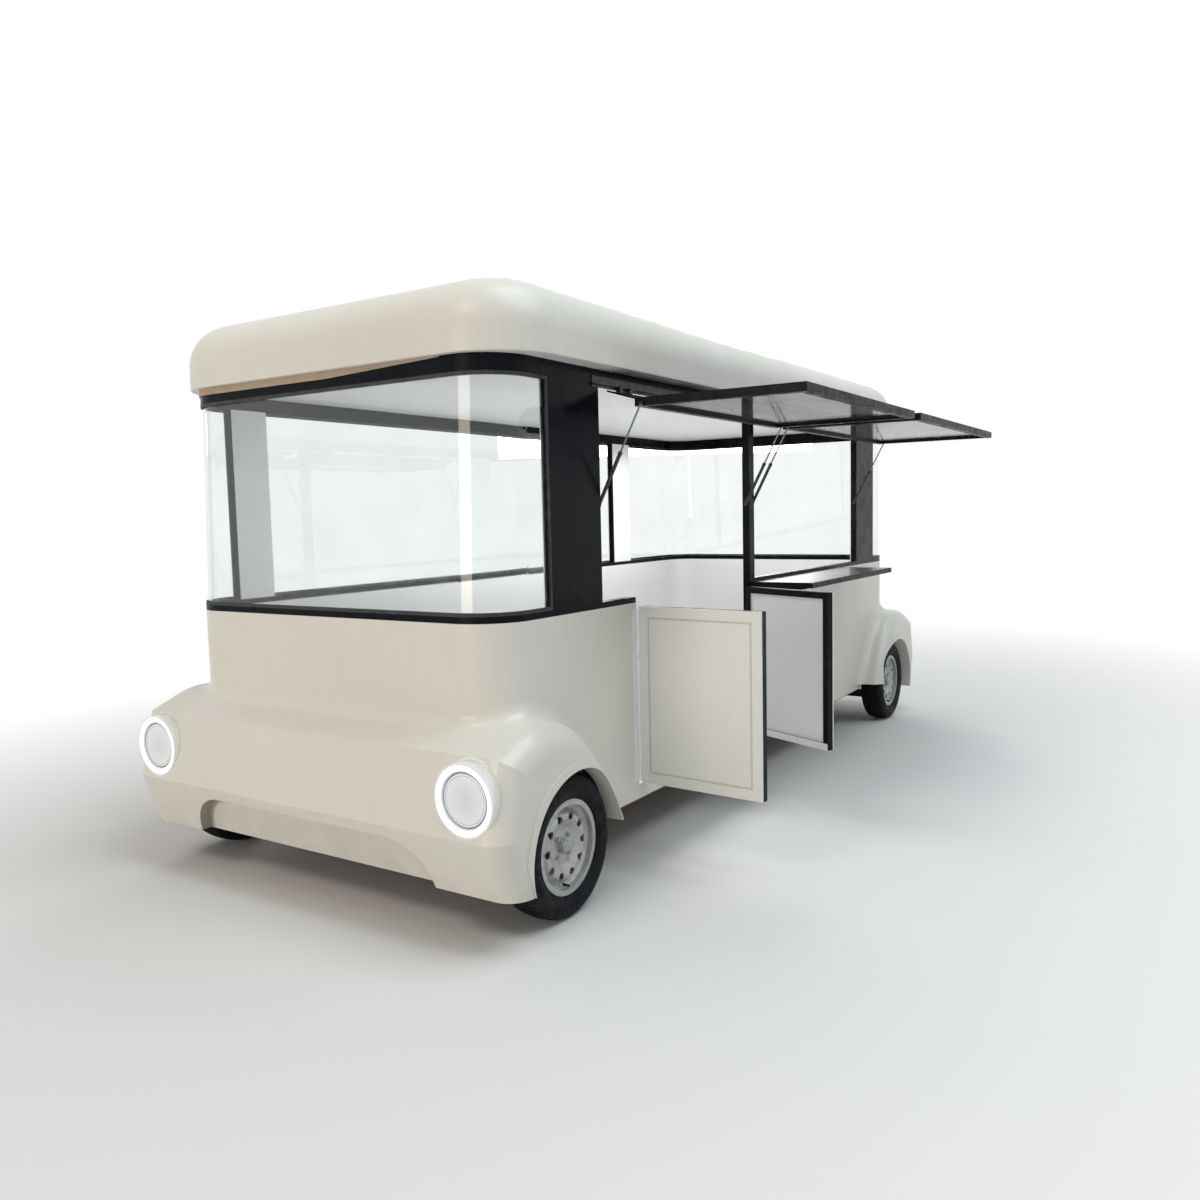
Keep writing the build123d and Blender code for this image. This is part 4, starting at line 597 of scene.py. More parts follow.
def bead_run(name, end, z, end_y, near_y, far_y):
    """A bead at height z round one end of the cart, from the near pillar to the far one."""
    core_y = end_y - BAND_R
    start = (FACE_X - BEAD_D / 2, end * near_y, z)
    piece = started("plane", name, start, (BEAD_D, BEAD_W, 1), UPRIGHT)
    bpy.ops.object.mode_set(mode="EDIT")
    bpy.ops.mesh.select_all(action="SELECT")
    turn = -end * math.pi / 2
    draw_out((0, end * (core_y - near_y), 0))
    bpy.ops.mesh.spin(steps=10, angle=turn, center=(CORE_X, end * core_y, z), axis=(0, 0, 1))
    draw_out((-2 * CORE_X, 0, 0))
    bpy.ops.mesh.spin(steps=10, angle=turn, center=(-CORE_X, end * core_y, z), axis=(0, 0, 1))
    draw_out((0, end * (far_y - core_y), 0))
    close_piece(piece, 40)
    return piece


def bead_upright(name, x, y, low, high):
    """A straight upright bead at one end of a pane."""
    size = (BEAD_D, BEAD_W, high - low)
    piece = started("cube", name, (x, y, (low + high) / 2), size)
    edge_softened(piece, BEAD_SOFT)
    return piece


BAND_LOW_Y = 2.311
BAND_HIGH_Y = 2.284
NEAR_END = 1.966
FAR_END = {"front": 2.054, "rear": 1.492}
LEFT_ENDS = (-1.862, 1.260)
RAIL_GAP = 0.0002
BEAD_BLACK = (0.014, 0.014, 0.015)
bead_rubber = worn_coat(
    "bead_rubber", BEAD_BLACK, (0.05, 0.045, 0.042), 0.6,
    wear=(0.45, 0.75, 0.6, 25, 6), gloss=(0.45, 0.75, 30, 4), bumps=(0.0001, 500, 2),
)
side_x = FACE_X - BEAD_D / 2
beads = []
low = PANE_LOW + BEAD_W / 2
high = PANE_HIGH - BEAD_W / 2
inner_low = PANE_LOW + BEAD_W
inner_high = PANE_HIGH - BEAD_W
for end, place in ((-1, "front"), (1, "rear")):
    far_end = FAR_END[place]
    beads.append(bead_run(f"bead_{place}_low", end, low, BAND_LOW_Y, NEAR_END, far_end))
    beads.append(bead_run(f"bead_{place}_high", end, high, BAND_HIGH_Y, NEAR_END, far_end))
    near = end * (NEAR_END + BEAD_W / 2)
    far = end * (far_end + BEAD_W / 2)
    beads.append(bead_upright(f"bead_{place}_near", side_x, near, inner_low, inner_high))
    beads.append(bead_upright(f"bead_{place}_far", -side_x, far, inner_low, inner_high))
for y in (LEFT_ENDS[0] + BEAD_W / 2, LEFT_ENDS[1] - BEAD_W / 2):
    beads.append(bead_upright("bead_left", -side_x, y, PANE_LOW, PANE_HIGH))
rail_size = (BEAD_D, LEFT_ENDS[1] - LEFT_ENDS[0] - 2 * (BEAD_W + RAIL_GAP), BEAD_W)
for z in (low, high):
    middle = (-side_x, sum(LEFT_ENDS) / 2, z)
    rail = started("cube", "bead_left", middle, rail_size)
    edge_softened(rail, BEAD_SOFT)
    beads.append(rail)
pane_beads = joined("pane_beads", beads)
pane_beads.data.materials.append(bead_rubber)
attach(pane_beads, "body")

# Roof cap: a hollow glass-fibre moulding with a broad rolled edge, in the same cream, left a
# little duller, with rain streaks that run down its sides and dust settled on its top.
ROOF_TOP = 2.390
roof_coat, tree, shader = new_finish("cream_gelcoat_roof", CREAM, 0.42)
haze = patches(tree, 0.36, 0.68, 1, 1.3, 3)
colour = blend_colour(tree, haze, CREAM, CREAM_DEEP)
rain = patches(tree, 0.58, 0.82, 0.12, 16, 6, (1, 1, 0.12))
colour = blend_colour(tree, rain, colour, LOW_DUST)
on_top = spread(tree, axis_value(tree, "Z"), ROOF_TOP - 0.06, ROOF_TOP, 0, 0.22)
settled = sum_of(tree, "MULTIPLY", on_top, spread(tree, grain(tree, 4, 7), 0.4, 0.7, 0.1, 1))
paint(tree, shader, blend_colour(tree, settled, colour, LOW_DUST))
vary_gloss(tree, shader, 0.34, 0.54, 7, 5)
shader.inputs["Coat Weight"].default_value = 0.12
shader.inputs["Coat Roughness"].default_value = 0.2
waves = sum_of(tree, "MULTIPLY", grain(tree, 4, 2), 8.0)
relief(tree, shader, sum_of(tree, "ADD", waves, grain(tree, 220, 2)), 0.00022)
dress(roof_coat, "roof_cap")

# Linings: white glass-fibre sheet on the ceiling, the soffit and the insides of the pillars and
# door leaves, with a fine pebbled face and faint handling marks.
LINING_WHITE = (0.86, 0.865, 0.855)
lining = worn_coat(
    "white_lining", LINING_WHITE, (0.58, 0.57, 0.54), 0.42,
    wear=(0.56, 0.82, 0.15, 8, 7), gloss=(0.34, 0.55, 12, 5), bumps=(0.0003, 160, 2),
)
dress(lining, "linings", "door_front_lining", "door_rear_lining")

# Eave shade strip: a thin tan sheet set under the roof edge across the front, which thins out towards
# the service side. It is painted shade for the shaded underside of the roof's overhanging lip.
STRIP_D = 0.004
STRIP_TALL = 0.028
STRIP_THIN = 0.004
EAVE_Z = 2.1025
STRIP_Y = 2.2835
STRIP_BACK = 0.08
THIN_FROM_X = 0.05
STRIP_STOP_X = CORE_X - 0.05
strip_core_y = BAND_R - STRIP_Y
eave_shade_strip = started(
    "plane",
    "eave_shade_strip",
    (-FACE_X - STRIP_D / 2, strip_core_y + STRIP_BACK, EAVE_Z - STRIP_TALL / 2),
    (STRIP_D, STRIP_TALL, 1),
    UPRIGHT,
)
bpy.ops.object.mode_set(mode="EDIT")
bpy.ops.mesh.select_all(action="SELECT")
draw_out((0, -STRIP_BACK, 0))
bpy.ops.mesh.spin(steps=12, angle=-math.pi / 2, center=(-CORE_X, strip_core_y, EAVE_Z), axis=(0, 0, 1))
draw_out((CORE_X + THIN_FROM_X, 0, 0))
draw_out((STRIP_STOP_X - THIN_FROM_X, 0, 0))
pick(eave_shade_strip, "VERT", lambda p: p.x > STRIP_STOP_X - 0.01 and p.z < EAVE_Z - STRIP_TALL / 2)
bpy.ops.transform.translate(value=(0, 0, STRIP_TALL - STRIP_THIN))
close_piece(eave_shade_strip, 40)
# Tan painted shade for the roof lip's underside.
EAVE_SHADE_TAN = (0.42, 0.31, 0.20)
tan = worn_coat(
    "tan_eave_strip", EAVE_SHADE_TAN, (0.50, 0.40, 0.28), 0.5,
    wear=(0.4, 0.7, 0.7, 9, 5), gloss=(0.4, 0.62, 20, 4), bumps=(0.00015, 260, 2),
)
eave_shade_strip.data.materials.append(tan)
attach(eave_shade_strip, "body")

# Lamps: a milky drum at each corner of the body. In front a light ring glows round a frosted
# lens; behind, a ribbed red lens fills the drum.
LAMP_X = 0.877
LAMP_Z = 0.554
LAMP_FRONT = 2.510
FACE_GLOW = (0.100, 0.124)
RING_GLOW = (0.1045, 0.1070)
INNER_SHADE = (0.0850, 0.0868)
OUTER_SHADE = (0.0930, 0.1010)
LAMP_LIGHT = (0.95, 0.97, 1.0, 1)


def lamp_radius(tree):
    """Distance from the axis of the nearest lamp."""
    across = sum_of(tree, "SUBTRACT", away(tree, "X"), LAMP_X)
    rise = sum_of(tree, "SUBTRACT", axis_value(tree, "Z"), LAMP_Z)
    return root_of_squares(tree, across, rise)


def ribs(tree, pitch):
    """Waves from 0 to 1 round the lamp's axis, one to each pitch."""
    wave = sum_of(tree, "SINE", sum_of(tree, "MULTIPLY", lamp_radius(tree), 2 * math.pi / pitch))
    return spread(tree, wave, -1, 1, 0, 1)


def lamp_band(tree, inner, outer, blur=0.0012):
    """1 between two distances from the lamp's axis, 0 elsewhere."""
    rising = spread(tree, lamp_radius(tree), inner - blur, inner + blur, 0, 1)
    falling = spread(tree, lamp_radius(tree), outer - blur, outer + blur, 1, 0)
    return sum_of(tree, "MINIMUM", rising, falling)


def lit(tree, shader, strength):
    """Cool white light of a strength that comes from another node's output."""
    tree.links.new(strength, shader.inputs["Emission Strength"])
    shader.inputs["Emission Color"].default_value = LAMP_LIGHT


MILKY = (0.86, 0.85, 0.82)
drum, tree, shader = new_finish("milky_lamp_drum", MILKY, 0.3)
yellowed = patches(tree, 0.4, 0.7, 1, 12, 5)
paint(tree, shader, blend_colour(tree, yellowed, MILKY, (0.80, 0.785, 0.75)))
vary_gloss(tree, shader, 0.22, 0.4, 20, 4)
shader.inputs["Coat Weight"].default_value = 0.4
on_face = spread(tree, axis_value(tree, "Y"), 0.002 - LAMP_FRONT, 0.004 - LAMP_FRONT, 1, 0)
lit_face = sum_of(tree, "MULTIPLY", on_face, lamp_band(tree, *FACE_GLOW))
spill = spread(tree, axis_value(tree, "Y"), -LAMP_FRONT, 0.05 - LAMP_FRONT, 0.12, 0)
lit(tree, shader, sum_of(tree, "ADD", spill, sum_of(tree, "MULTIPLY", lit_face, 1.5)))
relief(tree, shader, grain(tree, 200, 2), 0.00012)
dress(drum, "lamp_bezels")

glow, tree, shader = new_finish("glowing_ring", (0.9, 0.92, 0.95), 0.3)
beads_of_light = spread(tree, grain(tree, 70, 3), 0.3, 0.7, 0.9, 1.1)
strength = spread(tree, lamp_radius(tree), *RING_GLOW, 0.10, 1.5)
lit(tree, shader, sum_of(tree, "MULTIPLY", strength, beads_of_light))
vary_gloss(tree, shader, 0.25, 0.4, 40, 4)
dress(glow, "headlight_rings")

FROST = (0.66, 0.655, 0.70)
LENS_SHADE = (0.34, 0.34, 0.39)
frosted, tree, shader = new_finish("frosted_lens", FROST, 0.38)
middle = spread(tree, lamp_radius(tree), 0.0, 0.09, 0, 1)
colour = blend_colour(tree, middle, FROST, (0.74, 0.74, 0.79))
cloud = patches(tree, 0.4, 0.7, 0.3, 14, 4)
colour = blend_colour(tree, cloud, colour, FROST)
# Painted shade: darker rings just inside and just outside the lens's bright line, the outer one up to
# the light ring.
shade_lines = sum_of(tree, "MAXIMUM", lamp_band(tree, *INNER_SHADE), lamp_band(tree, *OUTER_SHADE))
paint(tree, shader, blend_colour(tree, shade_lines, colour, LENS_SHADE))
vary_gloss(tree, shader, 0.3, 0.48, 30, 5)
glimmer = spread(tree, middle, 0, 1, 0.13, 0.20)
lit(tree, shader, sum_of(tree, "MULTIPLY", glimmer, spread(tree, shade_lines, 0, 1, 1, 0)))
shader.inputs["Coat Weight"].default_value = 0.6
shader.inputs["Coat Roughness"].default_value = 0.06
relief(tree, shader, ribs(tree, 0.006), 0.0003)
dress(frosted, "headlight_lenses")

TAIL_RED = (0.24, 0.004, 0.005)
tail, tree, shader = new_finish("ribbed_tail_lens", TAIL_RED, 0.18)
depth = ribs(tree, 0.012)
paint(tree, shader, blend_colour(tree, depth, (0.15, 0.002, 0.003), (0.33, 0.006, 0.007)))
vary_gloss(tree, shader, 0.12, 0.3, 30, 4)
shader.inputs["Coat Weight"].default_value = 0.3
shader.inputs["Specular IOR Level"].default_value = 0.3
relief(tree, shader, depth, 0.0012)
dress(tail, "tail_lenses")

# Lamp trim: three raised hoops and a foot flange round each drum, and a thin pale ring set in each
# front lens with a faint glow, a painted highlight. The hoops and the flange are moulded with the
# drum.
HOOP_SIDES = 72
DRUM_L = 0.112
HOOP_SHIFTS = (0, 0.012, 0.024)
hoop_steps = [(0.0985, 0.1325), (0.0980, 0.1336), (0.0950, 0.1336), (0.0945, 0.1325)]
foot_steps = [
    (0.062, 0.1325), (0.061, 0.1365), (0.057, 0.1400), (0.050, 0.1425), (0.002, 0.1450),
    (0.002, 0.1325),
]
hoops = []
for end in (-1, 1):
    for side in (-1, 1):
        spot = (side * LAMP_X, end * (LAMP_FRONT - DRUM_L), LAMP_Z)
        rings = [[(end * (a - shift), r) for a, r in hoop_steps] for shift in HOOP_SHIFTS]
        rings.append([(end * a, r) for a, r in foot_steps])
        for ring in rings:
            hoops.append(turned("hoop", "Y", spot, HOOP_SIDES, ring + ring[:1]))
            close_piece(hoops[-1], 50)
lamp_hoops = joined("lamp_hoops", hoops)
lamp_hoops.data.materials.append(drum)
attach(lamp_hoops, "body")
LENS_SINK = 0.010
line_steps = [(0.001, 0.0876), (-0.0012, 0.0880), (-0.0012, 0.0906), (0.001, 0.0910)]
lines = []
for side in (-1, 1):
    spot = (side * LAMP_X, LENS_SINK - LAMP_FRONT, LAMP_Z)
    lines.append(turned("lens_line", "Y", spot, HOOP_SIDES, line_steps + line_steps[:1]))
    close_piece(lines[-1], 50)
lens_lines = joined("lens_lines", lines)
# The lens line is pale and glows faintly: a painted highlight.
LINE_HIGHLIGHT = (0.82, 0.84, 0.87)
line_highlight, tree, shader = new_finish("lens_line_highlight", LINE_HIGHLIGHT, 0.3)
vary_gloss(tree, shader, 0.2, 0.4, 40, 4)
dulled = patches(tree, 0.4, 0.7, 1, 25, 4)
paint(tree, shader, blend_colour(tree, dulled, LINE_HIGHLIGHT, (0.74, 0.76, 0.80)))
shader.inputs["Emission Strength"].default_value = 0.2
shader.inputs["Emission Color"].default_value = LAMP_LIGHT
lens_lines.data.materials.append(line_highlight)
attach(lens_lines, "body")

# Door leaves: a panel outside in a lacquer lighter than the body's cream, partly its own coat and
# partly painted light, with a routed groove darkened by painted shade, black tube frame and white
# lining inside, on a long hinge that is painted over on its plates.
PIN_X = 0.894
LEAF_LOW = 0.340
LEAF_TOP = 1.118
LEAF_NEAR = 0.003
LEAF_FAR = 0.597
GROOVE_IN = 0.045
GROOVE_W = 0.008
# The leaves' cream is lighter than the body's, partly painted light for the brighter light on the open
# leaves.
DOOR_LIT_WHITE = (0.890, 0.895, 0.870)
DOOR_LIT_DEEP = (0.860, 0.846, 0.800)
GROOVE_PAINTED_SHADE = (0.46, 0.445, 0.41)
LEAVES = {"front": (-1.350, 1, math.radians(-94)), "rear": (-0.150, -1, math.radians(66))}


def groove_of(pin_y, way, turn):
    """A mask of painted shade in the groove of a leaf, which is measured from its pin as it stands
    open.
    """
    out = Vector((-way * math.sin(turn), way * math.cos(turn), 0))

    def mask(tree):
        place = tree.nodes.new("ShaderNodeTexCoord")
        line = tree.nodes.new("ShaderNodeVectorMath")
        line.operation = "DOT_PRODUCT"
        line.inputs[1].default_value = out
        tree.links.new(place.outputs["Object"], line.inputs[0])
        middle = out.dot(Vector((PIN_X, pin_y, 0))) + (LEAF_NEAR + LEAF_FAR) / 2
        across = sum_of(tree, "ABSOLUTE", sum_of(tree, "SUBTRACT", line.outputs["Value"], middle))
        across = sum_of(tree, "SUBTRACT", across, (LEAF_FAR - LEAF_NEAR) / 2 - GROOVE_IN)
        rise = sum_of(tree, "SUBTRACT", axis_value(tree, "Z"), (LEAF_LOW + LEAF_TOP) / 2)
        rise = sum_of(tree, "ABSOLUTE", rise)
        rise = sum_of(tree, "SUBTRACT", rise, (LEAF_TOP - LEAF_LOW) / 2 - GROOVE_IN)
        edge = sum_of(tree, "ADD", sum_of(tree, "MAXIMUM", across, rise), GROOVE_W / 2)
        off = sum_of(tree, "ABSOLUTE", edge)
        return spread(tree, off, GROOVE_W / 2 - 0.001, GROOVE_W / 2 + 0.001, 0.5, 0)

    return mask


# Each leaf's coat takes the painted shade in its groove.
for place, leaf in LEAVES.items():
    groove = (groove_of(*leaf), GROOVE_PAINTED_SHADE)
    coat = cream_coat(f"door_{place}_lacquer", DOOR_LIT_WHITE, DOOR_LIT_DEEP, groove)
    dress(coat, f"door_{place}_panel")
TUBE_BLACK = (0.005, 0.006, 0.008)
tube_black = worn_coat(
    "black_tube_coat", TUBE_BLACK, (0.022, 0.023, 0.025), 0.4,
    wear=(0.55, 0.78, 0.5, 16, 7), gloss=(0.3, 0.52, 24, 5), bumps=(0.0002, 480, 2), specular=0.1,
)
dress(tube_black, "door_front_frame", "door_rear_frame")
HINGE_SILVER = (0.88, 0.89, 0.90)
hinge_coat, tree, shader = new_finish("painted_hinge", HINGE_SILVER, 0.32)
off_pins = None
for pin_y, way, turn in LEAVES.values():
    across = sum_of(tree, "SUBTRACT", axis_value(tree, "X"), PIN_X)
    along = sum_of(tree, "SUBTRACT", axis_value(tree, "Y"), pin_y)
    off_pin = root_of_squares(tree, across, along)
    off_pins = off_pin if off_pins is None else sum_of(tree, "MINIMUM", off_pins, off_pin)
bare = spread(tree, off_pins, 0.0075, 0.0085, 1, 0)
worn = sum_of(tree, "MULTIPLY", bare, spread(tree, grain(tree, 60, 4), 0.3, 0.5, 0.55, 1))
# The hinge plates take the leaves' lighter cream, which is partly painted light.
paint(tree, shader, blend_colour(tree, worn, DOOR_LIT_WHITE, HINGE_SILVER))
tree.links.new(spread(tree, bare, 0, 1, 0, 0.4), shader.inputs["Metallic"])
vary_gloss(tree, shader, 0.26, 0.46, 60, 4, (1, 1, 0.1))
relief(tree, shader, grain(tree, 300, 2, (1, 1, 0.05)), 0.0001)
dress(hinge_coat, "door_hinges", "door_front_hinge", "door_rear_hinge")

# Hinge rivets: domed heads in a row down every hinge plate, painted over with it. One is turned
# and copied down the plates on the posts and on the leaves.
RIVETS = 8
PLATE_OUT = 0.890
RIVET_IN = 0.022
rivet = turned("rivet", "X", (0, 0, 0), 12, [
    (0, 0.0044), (0.0006, 0.0044), (0.0014, 0.0034), (0.0019, 0.0018), (0.0020, 0.0005),
])
close_piece(rivet, 60)
rivet.data.materials.append(hinge_coat)


def rivet_row(name, body, pin_y, way, turn):
    """Rivets down one hinge plate; turn is how far the plate stands open about its pin."""
    row = []
    for step in range(RIVETS):
        z = LEAF_LOW + GROOVE_IN + step * (LEAF_TOP - LEAF_LOW - 2 * GROOVE_IN) / (RIVETS - 1)
        out = Vector((PLATE_OUT - PIN_X, way * RIVET_IN, 0))
        out.rotate(Matrix.Rotation(turn, 3, "Z"))
        row.append(copied(rivet, "rivet", turn, (0, 0, 1), (PIN_X + out.x, pin_y + out.y, z)))
    row = joined(name, row)
    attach(row, body)


for place, (pin_y, way, turn) in LEAVES.items():
    rivet_row(f"rivets_{place}_post", "body", pin_y, -way, 0)
    rivet_row(f"rivets_{place}_leaf", f"door_{place}", pin_y, way, turn)
bpy.data.objects.remove(rivet)

# Kick strips: folded aluminium strip over the bottom tube of each leaf on the inside, bright, with
# greyer patches where shoes and brooms rub it.
LEAF_BACK = 0.848
STRIP_HIGH = 0.034
STRIP_THICK = 0.0012
STRIP_SHORT = 0.004
STRIP_DROP = 0.001
STRIP_FOLD = 0.0006
strip_x = LEAF_BACK - STRIP_THICK / 2 - PIN_X
kick = started(
    "cube",
    "kick_strip",
    (strip_x, (LEAF_NEAR + LEAF_FAR) / 2, LEAF_LOW + STRIP_HIGH / 2 - STRIP_DROP),
    (STRIP_THICK, LEAF_FAR - LEAF_NEAR - STRIP_SHORT, STRIP_HIGH),
)
bpy.ops.object.mode_set(mode="EDIT")
pick(kick, "FACE", lambda m: m.z < LEAF_LOW)
draw_out((0, 0, -STRIP_FOLD))
bpy.ops.transform.translate(value=(STRIP_THICK, 0, 0))
close_piece(kick, 30)
edge_softened(kick, 0.0002)
STRIP_BRIGHT = (0.92, 0.925, 0.93)
bright_strip = worn_coat(
    "folded_bright_strip", STRIP_BRIGHT, (0.76, 0.76, 0.75), 0.4, 0.15,
    wear=(0.5, 0.75, 0.5, 45, 6, (1, 1, 0.3)), gloss=(0.3, 0.55, 50, 4), bumps=(0.0001, 260, 2),
)
kick.data.materials.append(bright_strip)
for place, (pin_y, way, turn) in LEAVES.items():
    shut = copied(kick, "shut_strip", place=(0, min(way, 0) * (LEAF_NEAR + LEAF_FAR), 0))
    strip = copied(shut, f"kick_strip_{place}", turn, (0, 0, 1), (PIN_X, pin_y, 0))
    bpy.data.objects.remove(shut)
    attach(strip, f"door_{place}")
bpy.data.objects.remove(kick)

# Hatches: black tube frames with a sloping hinge strip and a smoke-tinted acrylic pane each,
# hung from a folded aluminium gutter on the header.
dress(tube_black, "hatch_front_frame", "hatch_rear_frame")
SMOKE = (0.060, 0.048, 0.060)
smoke, tree, shader = new_finish("smoke_tinted_pane", SMOKE, 0.12)
shader.inputs["Alpha"].default_value = 0.70
shader.inputs["Specular IOR Level"].default_value = 0.06
tree.links.new(spread(tree, grain(tree, 9, 6), 0.5, 0.8, 0.08, 0.22), shader.inputs["Roughness"])
haze = patches(tree, 0.4, 0.75, 1, 5, 6)
paint(tree, shader, blend_colour(tree, haze, SMOKE, (0.085, 0.075, 0.088)))
dress(smoke, "hatch_front_glass", "hatch_rear_glass")
GUTTER_GREY = (0.022, 0.023, 0.025)
folded = worn_coat(
    "folded_dark_aluminium", GUTTER_GREY, (0.11, 0.11, 0.112), 0.38, 0.2,
    wear=(0.55, 0.72, 0.7, 50, 6, (1, 0.05, 1)), gloss=(0.28, 0.5, 30, 5), bumps=(0.00015, 380, 2),
)
dress(folded, "hatch_hardware")

# Hatch seals and screws: a rubber strip round each pane on its upper face, and pan-head
# screws through the tubes at the corners and along the sides.
HATCH_Y = {"front": (-1.591, -0.175), "rear": (-0.065, 1.591)}
TUBE = 0.035
BAR_X = (1.044, 1.762)
BAR_LOW = 1.945
PANE_UP = 0.013
PANE_THICK = 0.006
SEAL_W = 0.010
SEAL_TALL = 0.007
SEAL_GAP = 0.0003
SEAL_LIFT = 0.0002
bar_mid = sum(BAR_X) / 2
screw = turned("screw", "Z", (0, 0, 0), 12, [
    (0, 0.0060), (-0.0012, 0.0060), (-0.0026, 0.0048), (-0.0032, 0.0030), (-0.0032, 0.0022),
    (-0.0018, 0.0018), (-0.0018, 0.0005),
])
close_piece(screw, 40)
screw.data.materials.append(zinc)
for place, (low, high) in HATCH_Y.items():
    hem = 2 * (TUBE + SEAL_GAP)
    seal = started(
        "plane",
        f"hatch_{place}_seal",
        (bar_mid, (low + high) / 2, BAR_LOW + PANE_UP + PANE_THICK + SEAL_LIFT),
        (BAR_X[1] - BAR_X[0] - hem, high - low - hem, 1),
    )
    bpy.ops.object.mode_set(mode="EDIT")
    bpy.ops.mesh.select_all(action="SELECT")
    bpy.ops.mesh.inset(thickness=SEAL_W, depth=0)
    bpy.ops.mesh.delete(type="FACE")
    bpy.ops.mesh.select_all(action="SELECT")
    draw_out((0, 0, SEAL_TALL))
    close_piece(seal, 30)
    edge_softened(seal, BEAD_SOFT)
    seal.data.materials.append(bead_rubber)
    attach(seal, f"hatch_{place}")
    rows = (BAR_X[0] + TUBE / 2, BAR_X[1] - TUBE / 2)
    ends = (low + TUBE / 2, high - TUBE / 2)
    spots = [(x, y) for x in (rows[0], bar_mid, rows[1]) for y in ends]
    spots += [(x, low + share * (high - low)) for share in (0.25, 0.5, 0.75) for x in rows]
    heads = [copied(screw, "screw", place=(*spot, BAR_LOW)) for spot in spots]
    heads = joined(f"hatch_{place}_screws", heads)
    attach(heads, f"hatch_{place}")
bpy.data.objects.remove(screw)

# Gas struts: a black lacquered cylinder and an oiled dark rod on each side of a hatch. A rubber
# wiper bush closes the mouth of every cylinder.
STRUT_BLACK = (0.014, 0.014, 0.015)
strut_black = worn_coat(
    "strut_lacquer", STRUT_BLACK, (0.06, 0.06, 0.06), 0.28,
    wear=(0.5, 0.75, 0.5, 50, 6), gloss=(0.2, 0.4, 60, 4), bumps=(0.0001, 400, 2),
)
ROD_GREY = (0.16, 0.165, 0.17)
dark_rod, tree, shader = new_finish("blackened_rod", ROD_GREY, 0.2, 1.0)
oil = patches(tree, 0.45, 0.75, 0.5, 60, 5)
paint(tree, shader, blend_colour(tree, oil, ROD_GREY, (0.09, 0.088, 0.085)))
vary_gloss(tree, shader, 0.08, 0.26, 80, 4)
STRUT_FOOT = Vector((0.872, 0, 1.558))
STRUT_HEAD = Vector((1.080, 0, 1.955))
lean = (STRUT_HEAD - STRUT_FOOT).normalized()
tilt = math.atan2(lean.x, lean.z)
CYLINDER_L = 0.235
bush = turned("bush", "Z", (0, 0, 0), 24, [
    (CYLINDER_L - 0.012, 0.0081), (CYLINDER_L - 0.011, 0.0090), (CYLINDER_L, 0.0090),
    (CYLINDER_L + 0.004, 0.0072), (CYLINDER_L + 0.005, 0.0045), (CYLINDER_L - 0.012, 0.0045),
    (CYLINDER_L - 0.012, 0.0081),
])
close_piece(bush, 40)
bush.data.materials.append(bead_rubber)
STRUT_Y = {
    "front_strut_a": -1.604,
    "front_strut_b": -0.162,
    "rear_strut_a": -0.078,
    "rear_strut_b": 1.604,
}
for name, y in STRUT_Y.items():
    dress(strut_black, f"hatch_{name}_cylinder")
    dress(dark_rod, f"hatch_{name}_rod")
    collar = copied(bush, f"bush_{name}", tilt, (0, 1, 0), (STRUT_FOOT.x, y, STRUT_FOOT.z))
    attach(collar, f"hatch_{name}_cylinder")
bpy.data.objects.remove(bush)

# Counter: stainless sheet, brushed lengthways, dropped into a black tube edge on two brackets.
# Dried water marks lie over the brushing.
STAINLESS = (0.17, 0.173, 0.175)
brushed, tree, shader = new_finish("brushed_stainless", STAINLESS, 0.3, 1.0)
lay = grain(tree, 520, 3, (1, 0.010, 1))
colour = blend_colour(tree, spread(tree, lay, 0.35, 0.68, 0, 0.5), STAINLESS, (0.135, 0.138, 0.14))
water = patches(tree, 0.56, 0.7, 0.35, 22, 7)
paint(tree, shader, blend_colour(tree, water, colour, (0.30, 0.30, 0.295)))
tree.links.new(spread(tree, lay, 0.3, 0.7, 0.26, 0.36), shader.inputs["Roughness"])
relief(tree, shader, lay, 0.00003)
dress(brushed, "counter_top")
dress(tube_black, "counter_frame")


# Stage: a pale floor that fades into the white of the background, soft warm light from ahead
# of the cart, cooler light from above, a little from behind, and two lamps in the cabin.
def seen_rays(tree):
    """1 for what is looked at, straight or in a mirror or through a pane; 0 for light alone."""
    path = tree.nodes.new("ShaderNodeLightPath")
    seen = sum_of(tree, "MAXIMUM", path.outputs["Is Camera Ray"], path.outputs["Is Glossy Ray"])
    return sum_of(tree, "MAXIMUM", seen, path.outputs["Is Transmission Ray"])


FLOOR_SIZE = 80
FADE = (2.0, 5.0)
FADE_OVAL = (1.0, 0.62, 1.0)
floor = started("plane", "floor", (0, 0, 0), (FLOOR_SIZE, FLOOR_SIZE, 1))
FLOOR_PALE = (0.82, 0.82, 0.815)
FLOOR_BOUNCE = (0.78, 0.78, 0.775)
pale, tree, shader = new_finish("pale_floor", FLOOR_PALE, 0.9)
white = tree.nodes.new("ShaderNodeEmission")
white.inputs["Strength"].default_value = 1.0
place = tree.nodes.new("ShaderNodeTexCoord")
oval = tree.nodes.new("ShaderNodeMapping")
oval.inputs["Scale"].default_value = FADE_OVAL
tree.links.new(place.outputs["Object"], oval.inputs["Vector"])
reach = tree.nodes.new("ShaderNodeVectorMath")
reach.operation = "LENGTH"
tree.links.new(oval.outputs["Vector"], reach.inputs[0])
looked_at = seen_rays(tree)
paint(tree, shader, blend_colour(tree, looked_at, FLOOR_BOUNCE, FLOOR_PALE))
far = sum_of(tree, "MULTIPLY", spread(tree, reach.outputs["Value"], *FADE, 0, 1), looked_at)
mix = tree.nodes.new("ShaderNodeMixShader")
tree.links.new(far, mix.inputs[0])
tree.links.new(shader.outputs[0], mix.inputs[1])
tree.links.new(white.outputs[0], mix.inputs[2])
tree.links.new(mix.outputs[0], tree.nodes["Material Output"].inputs["Surface"])
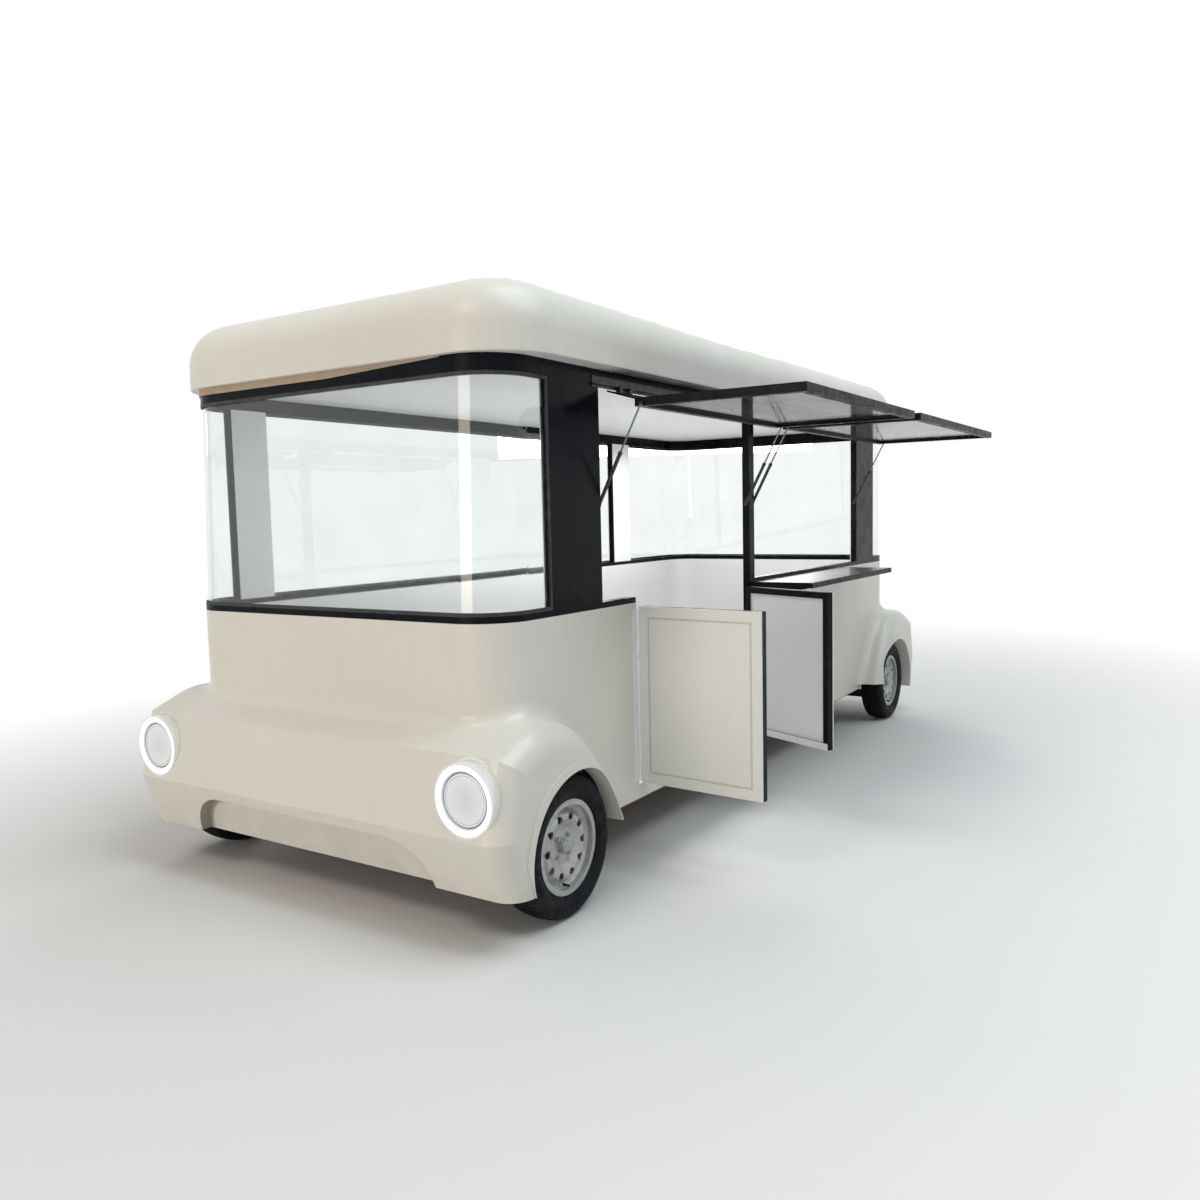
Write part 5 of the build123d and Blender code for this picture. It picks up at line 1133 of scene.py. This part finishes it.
floor.data.materials.append(pale)

AMBIENT = 0.28
world = bpy.data.worlds.new("studio")
bpy.context.scene.world = world
world.use_nodes = True
tree = world.node_tree
backdrop = tree.nodes["Background"]
tree.links.new(spread(tree, seen_rays(tree), 0, 1, AMBIENT, 1.0), backdrop.inputs["Strength"])
backdrop.inputs["Color"].default_value = (1, 1, 1, 1)


def softbox(name, place, aim, size, energy, colour):
    """A rectangular area lamp at a place, turned towards its aim."""
    lamp_data = bpy.data.lights.new(name, "AREA")
    lamp_data.shape = "RECTANGLE"
    lamp_data.size, lamp_data.size_y = size
    lamp_data.energy = energy
    lamp_data.color = colour
    lamp = bpy.data.objects.new(name, lamp_data)
    bpy.context.collection.objects.link(lamp)
    lamp.location = place
    lamp.rotation_euler = (Vector(aim) - Vector(place)).to_track_quat("-Z", "Y").to_euler()
    return lamp


softbox("front_softbox", (-1.5, -14.0, 2.4), (0, -1.0, 0.8), (6, 4), 310, (1.0, 0.88, 0.73))
softbox("high_softbox", (-0.8, -10.0, 9.5), (0, -2.0, 0.6), (4, 3), 240, (1.0, 0.89, 0.75))
softbox("top_softbox", (4.5, -0.5, 10.0), (0.4, 0, 0), (6, 8), 580, (0.83, 0.95, 1.0))
softbox("back_softbox", (-6.0, 11.0, 5.0), (0, 0.5, 0.9), (6, 5), 420, (1.0, 0.97, 0.93))
cabin = softbox("cabin_softbox", (0, 0.5, 2.0), (0, 0.5, 0), (1.2, 2.6), 33, (0.98, 0.99, 1.0))
ceiling = softbox("ceiling_softbox", (0, 0, 1.0), (0, 0, 2.0), (1.0, 3.6), 12, (0.97, 0.985, 1.0))
for lamp in (cabin, ceiling):
    lamp.visible_camera = False
    lamp.visible_glossy = False
    lamp.visible_transmission = False

# Camera: stands ahead of the service-side headlight at eye height and looks along the cart, with
# the lens and the slight roll that were fitted to the picture.
PICTURE = 1200.0
FOCAL_PIXELS = 982.84
AZIMUTH = 0.57422
PITCH = 0.08698
ROLL = -0.02243
EYE = (3.06782, -5.00587, 1.52043)
camera_data = bpy.data.cameras.new("camera")
camera_data.sensor_fit = "HORIZONTAL"
camera_data.sensor_width = 36.0
camera_data.lens = FOCAL_PIXELS / PICTURE * camera_data.sensor_width
camera = bpy.data.objects.new("camera", camera_data)
bpy.context.collection.objects.link(camera)
flat = math.cos(PITCH)
ahead = Vector((-math.sin(AZIMUTH) * flat, math.cos(AZIMUTH) * flat, -math.sin(PITCH)))
level_right = Vector((math.cos(AZIMUTH), math.sin(AZIMUTH), 0))
level_up = level_right.cross(ahead)
right = math.cos(ROLL) * level_right + math.sin(ROLL) * level_up
up = -math.sin(ROLL) * level_right + math.cos(ROLL) * level_up
camera.matrix_world = Matrix.Translation(EYE) @ Matrix((right, up, -ahead)).transposed().to_4x4()
bpy.context.scene.camera = camera
bpy.context.scene.view_settings.view_transform = "Standard"
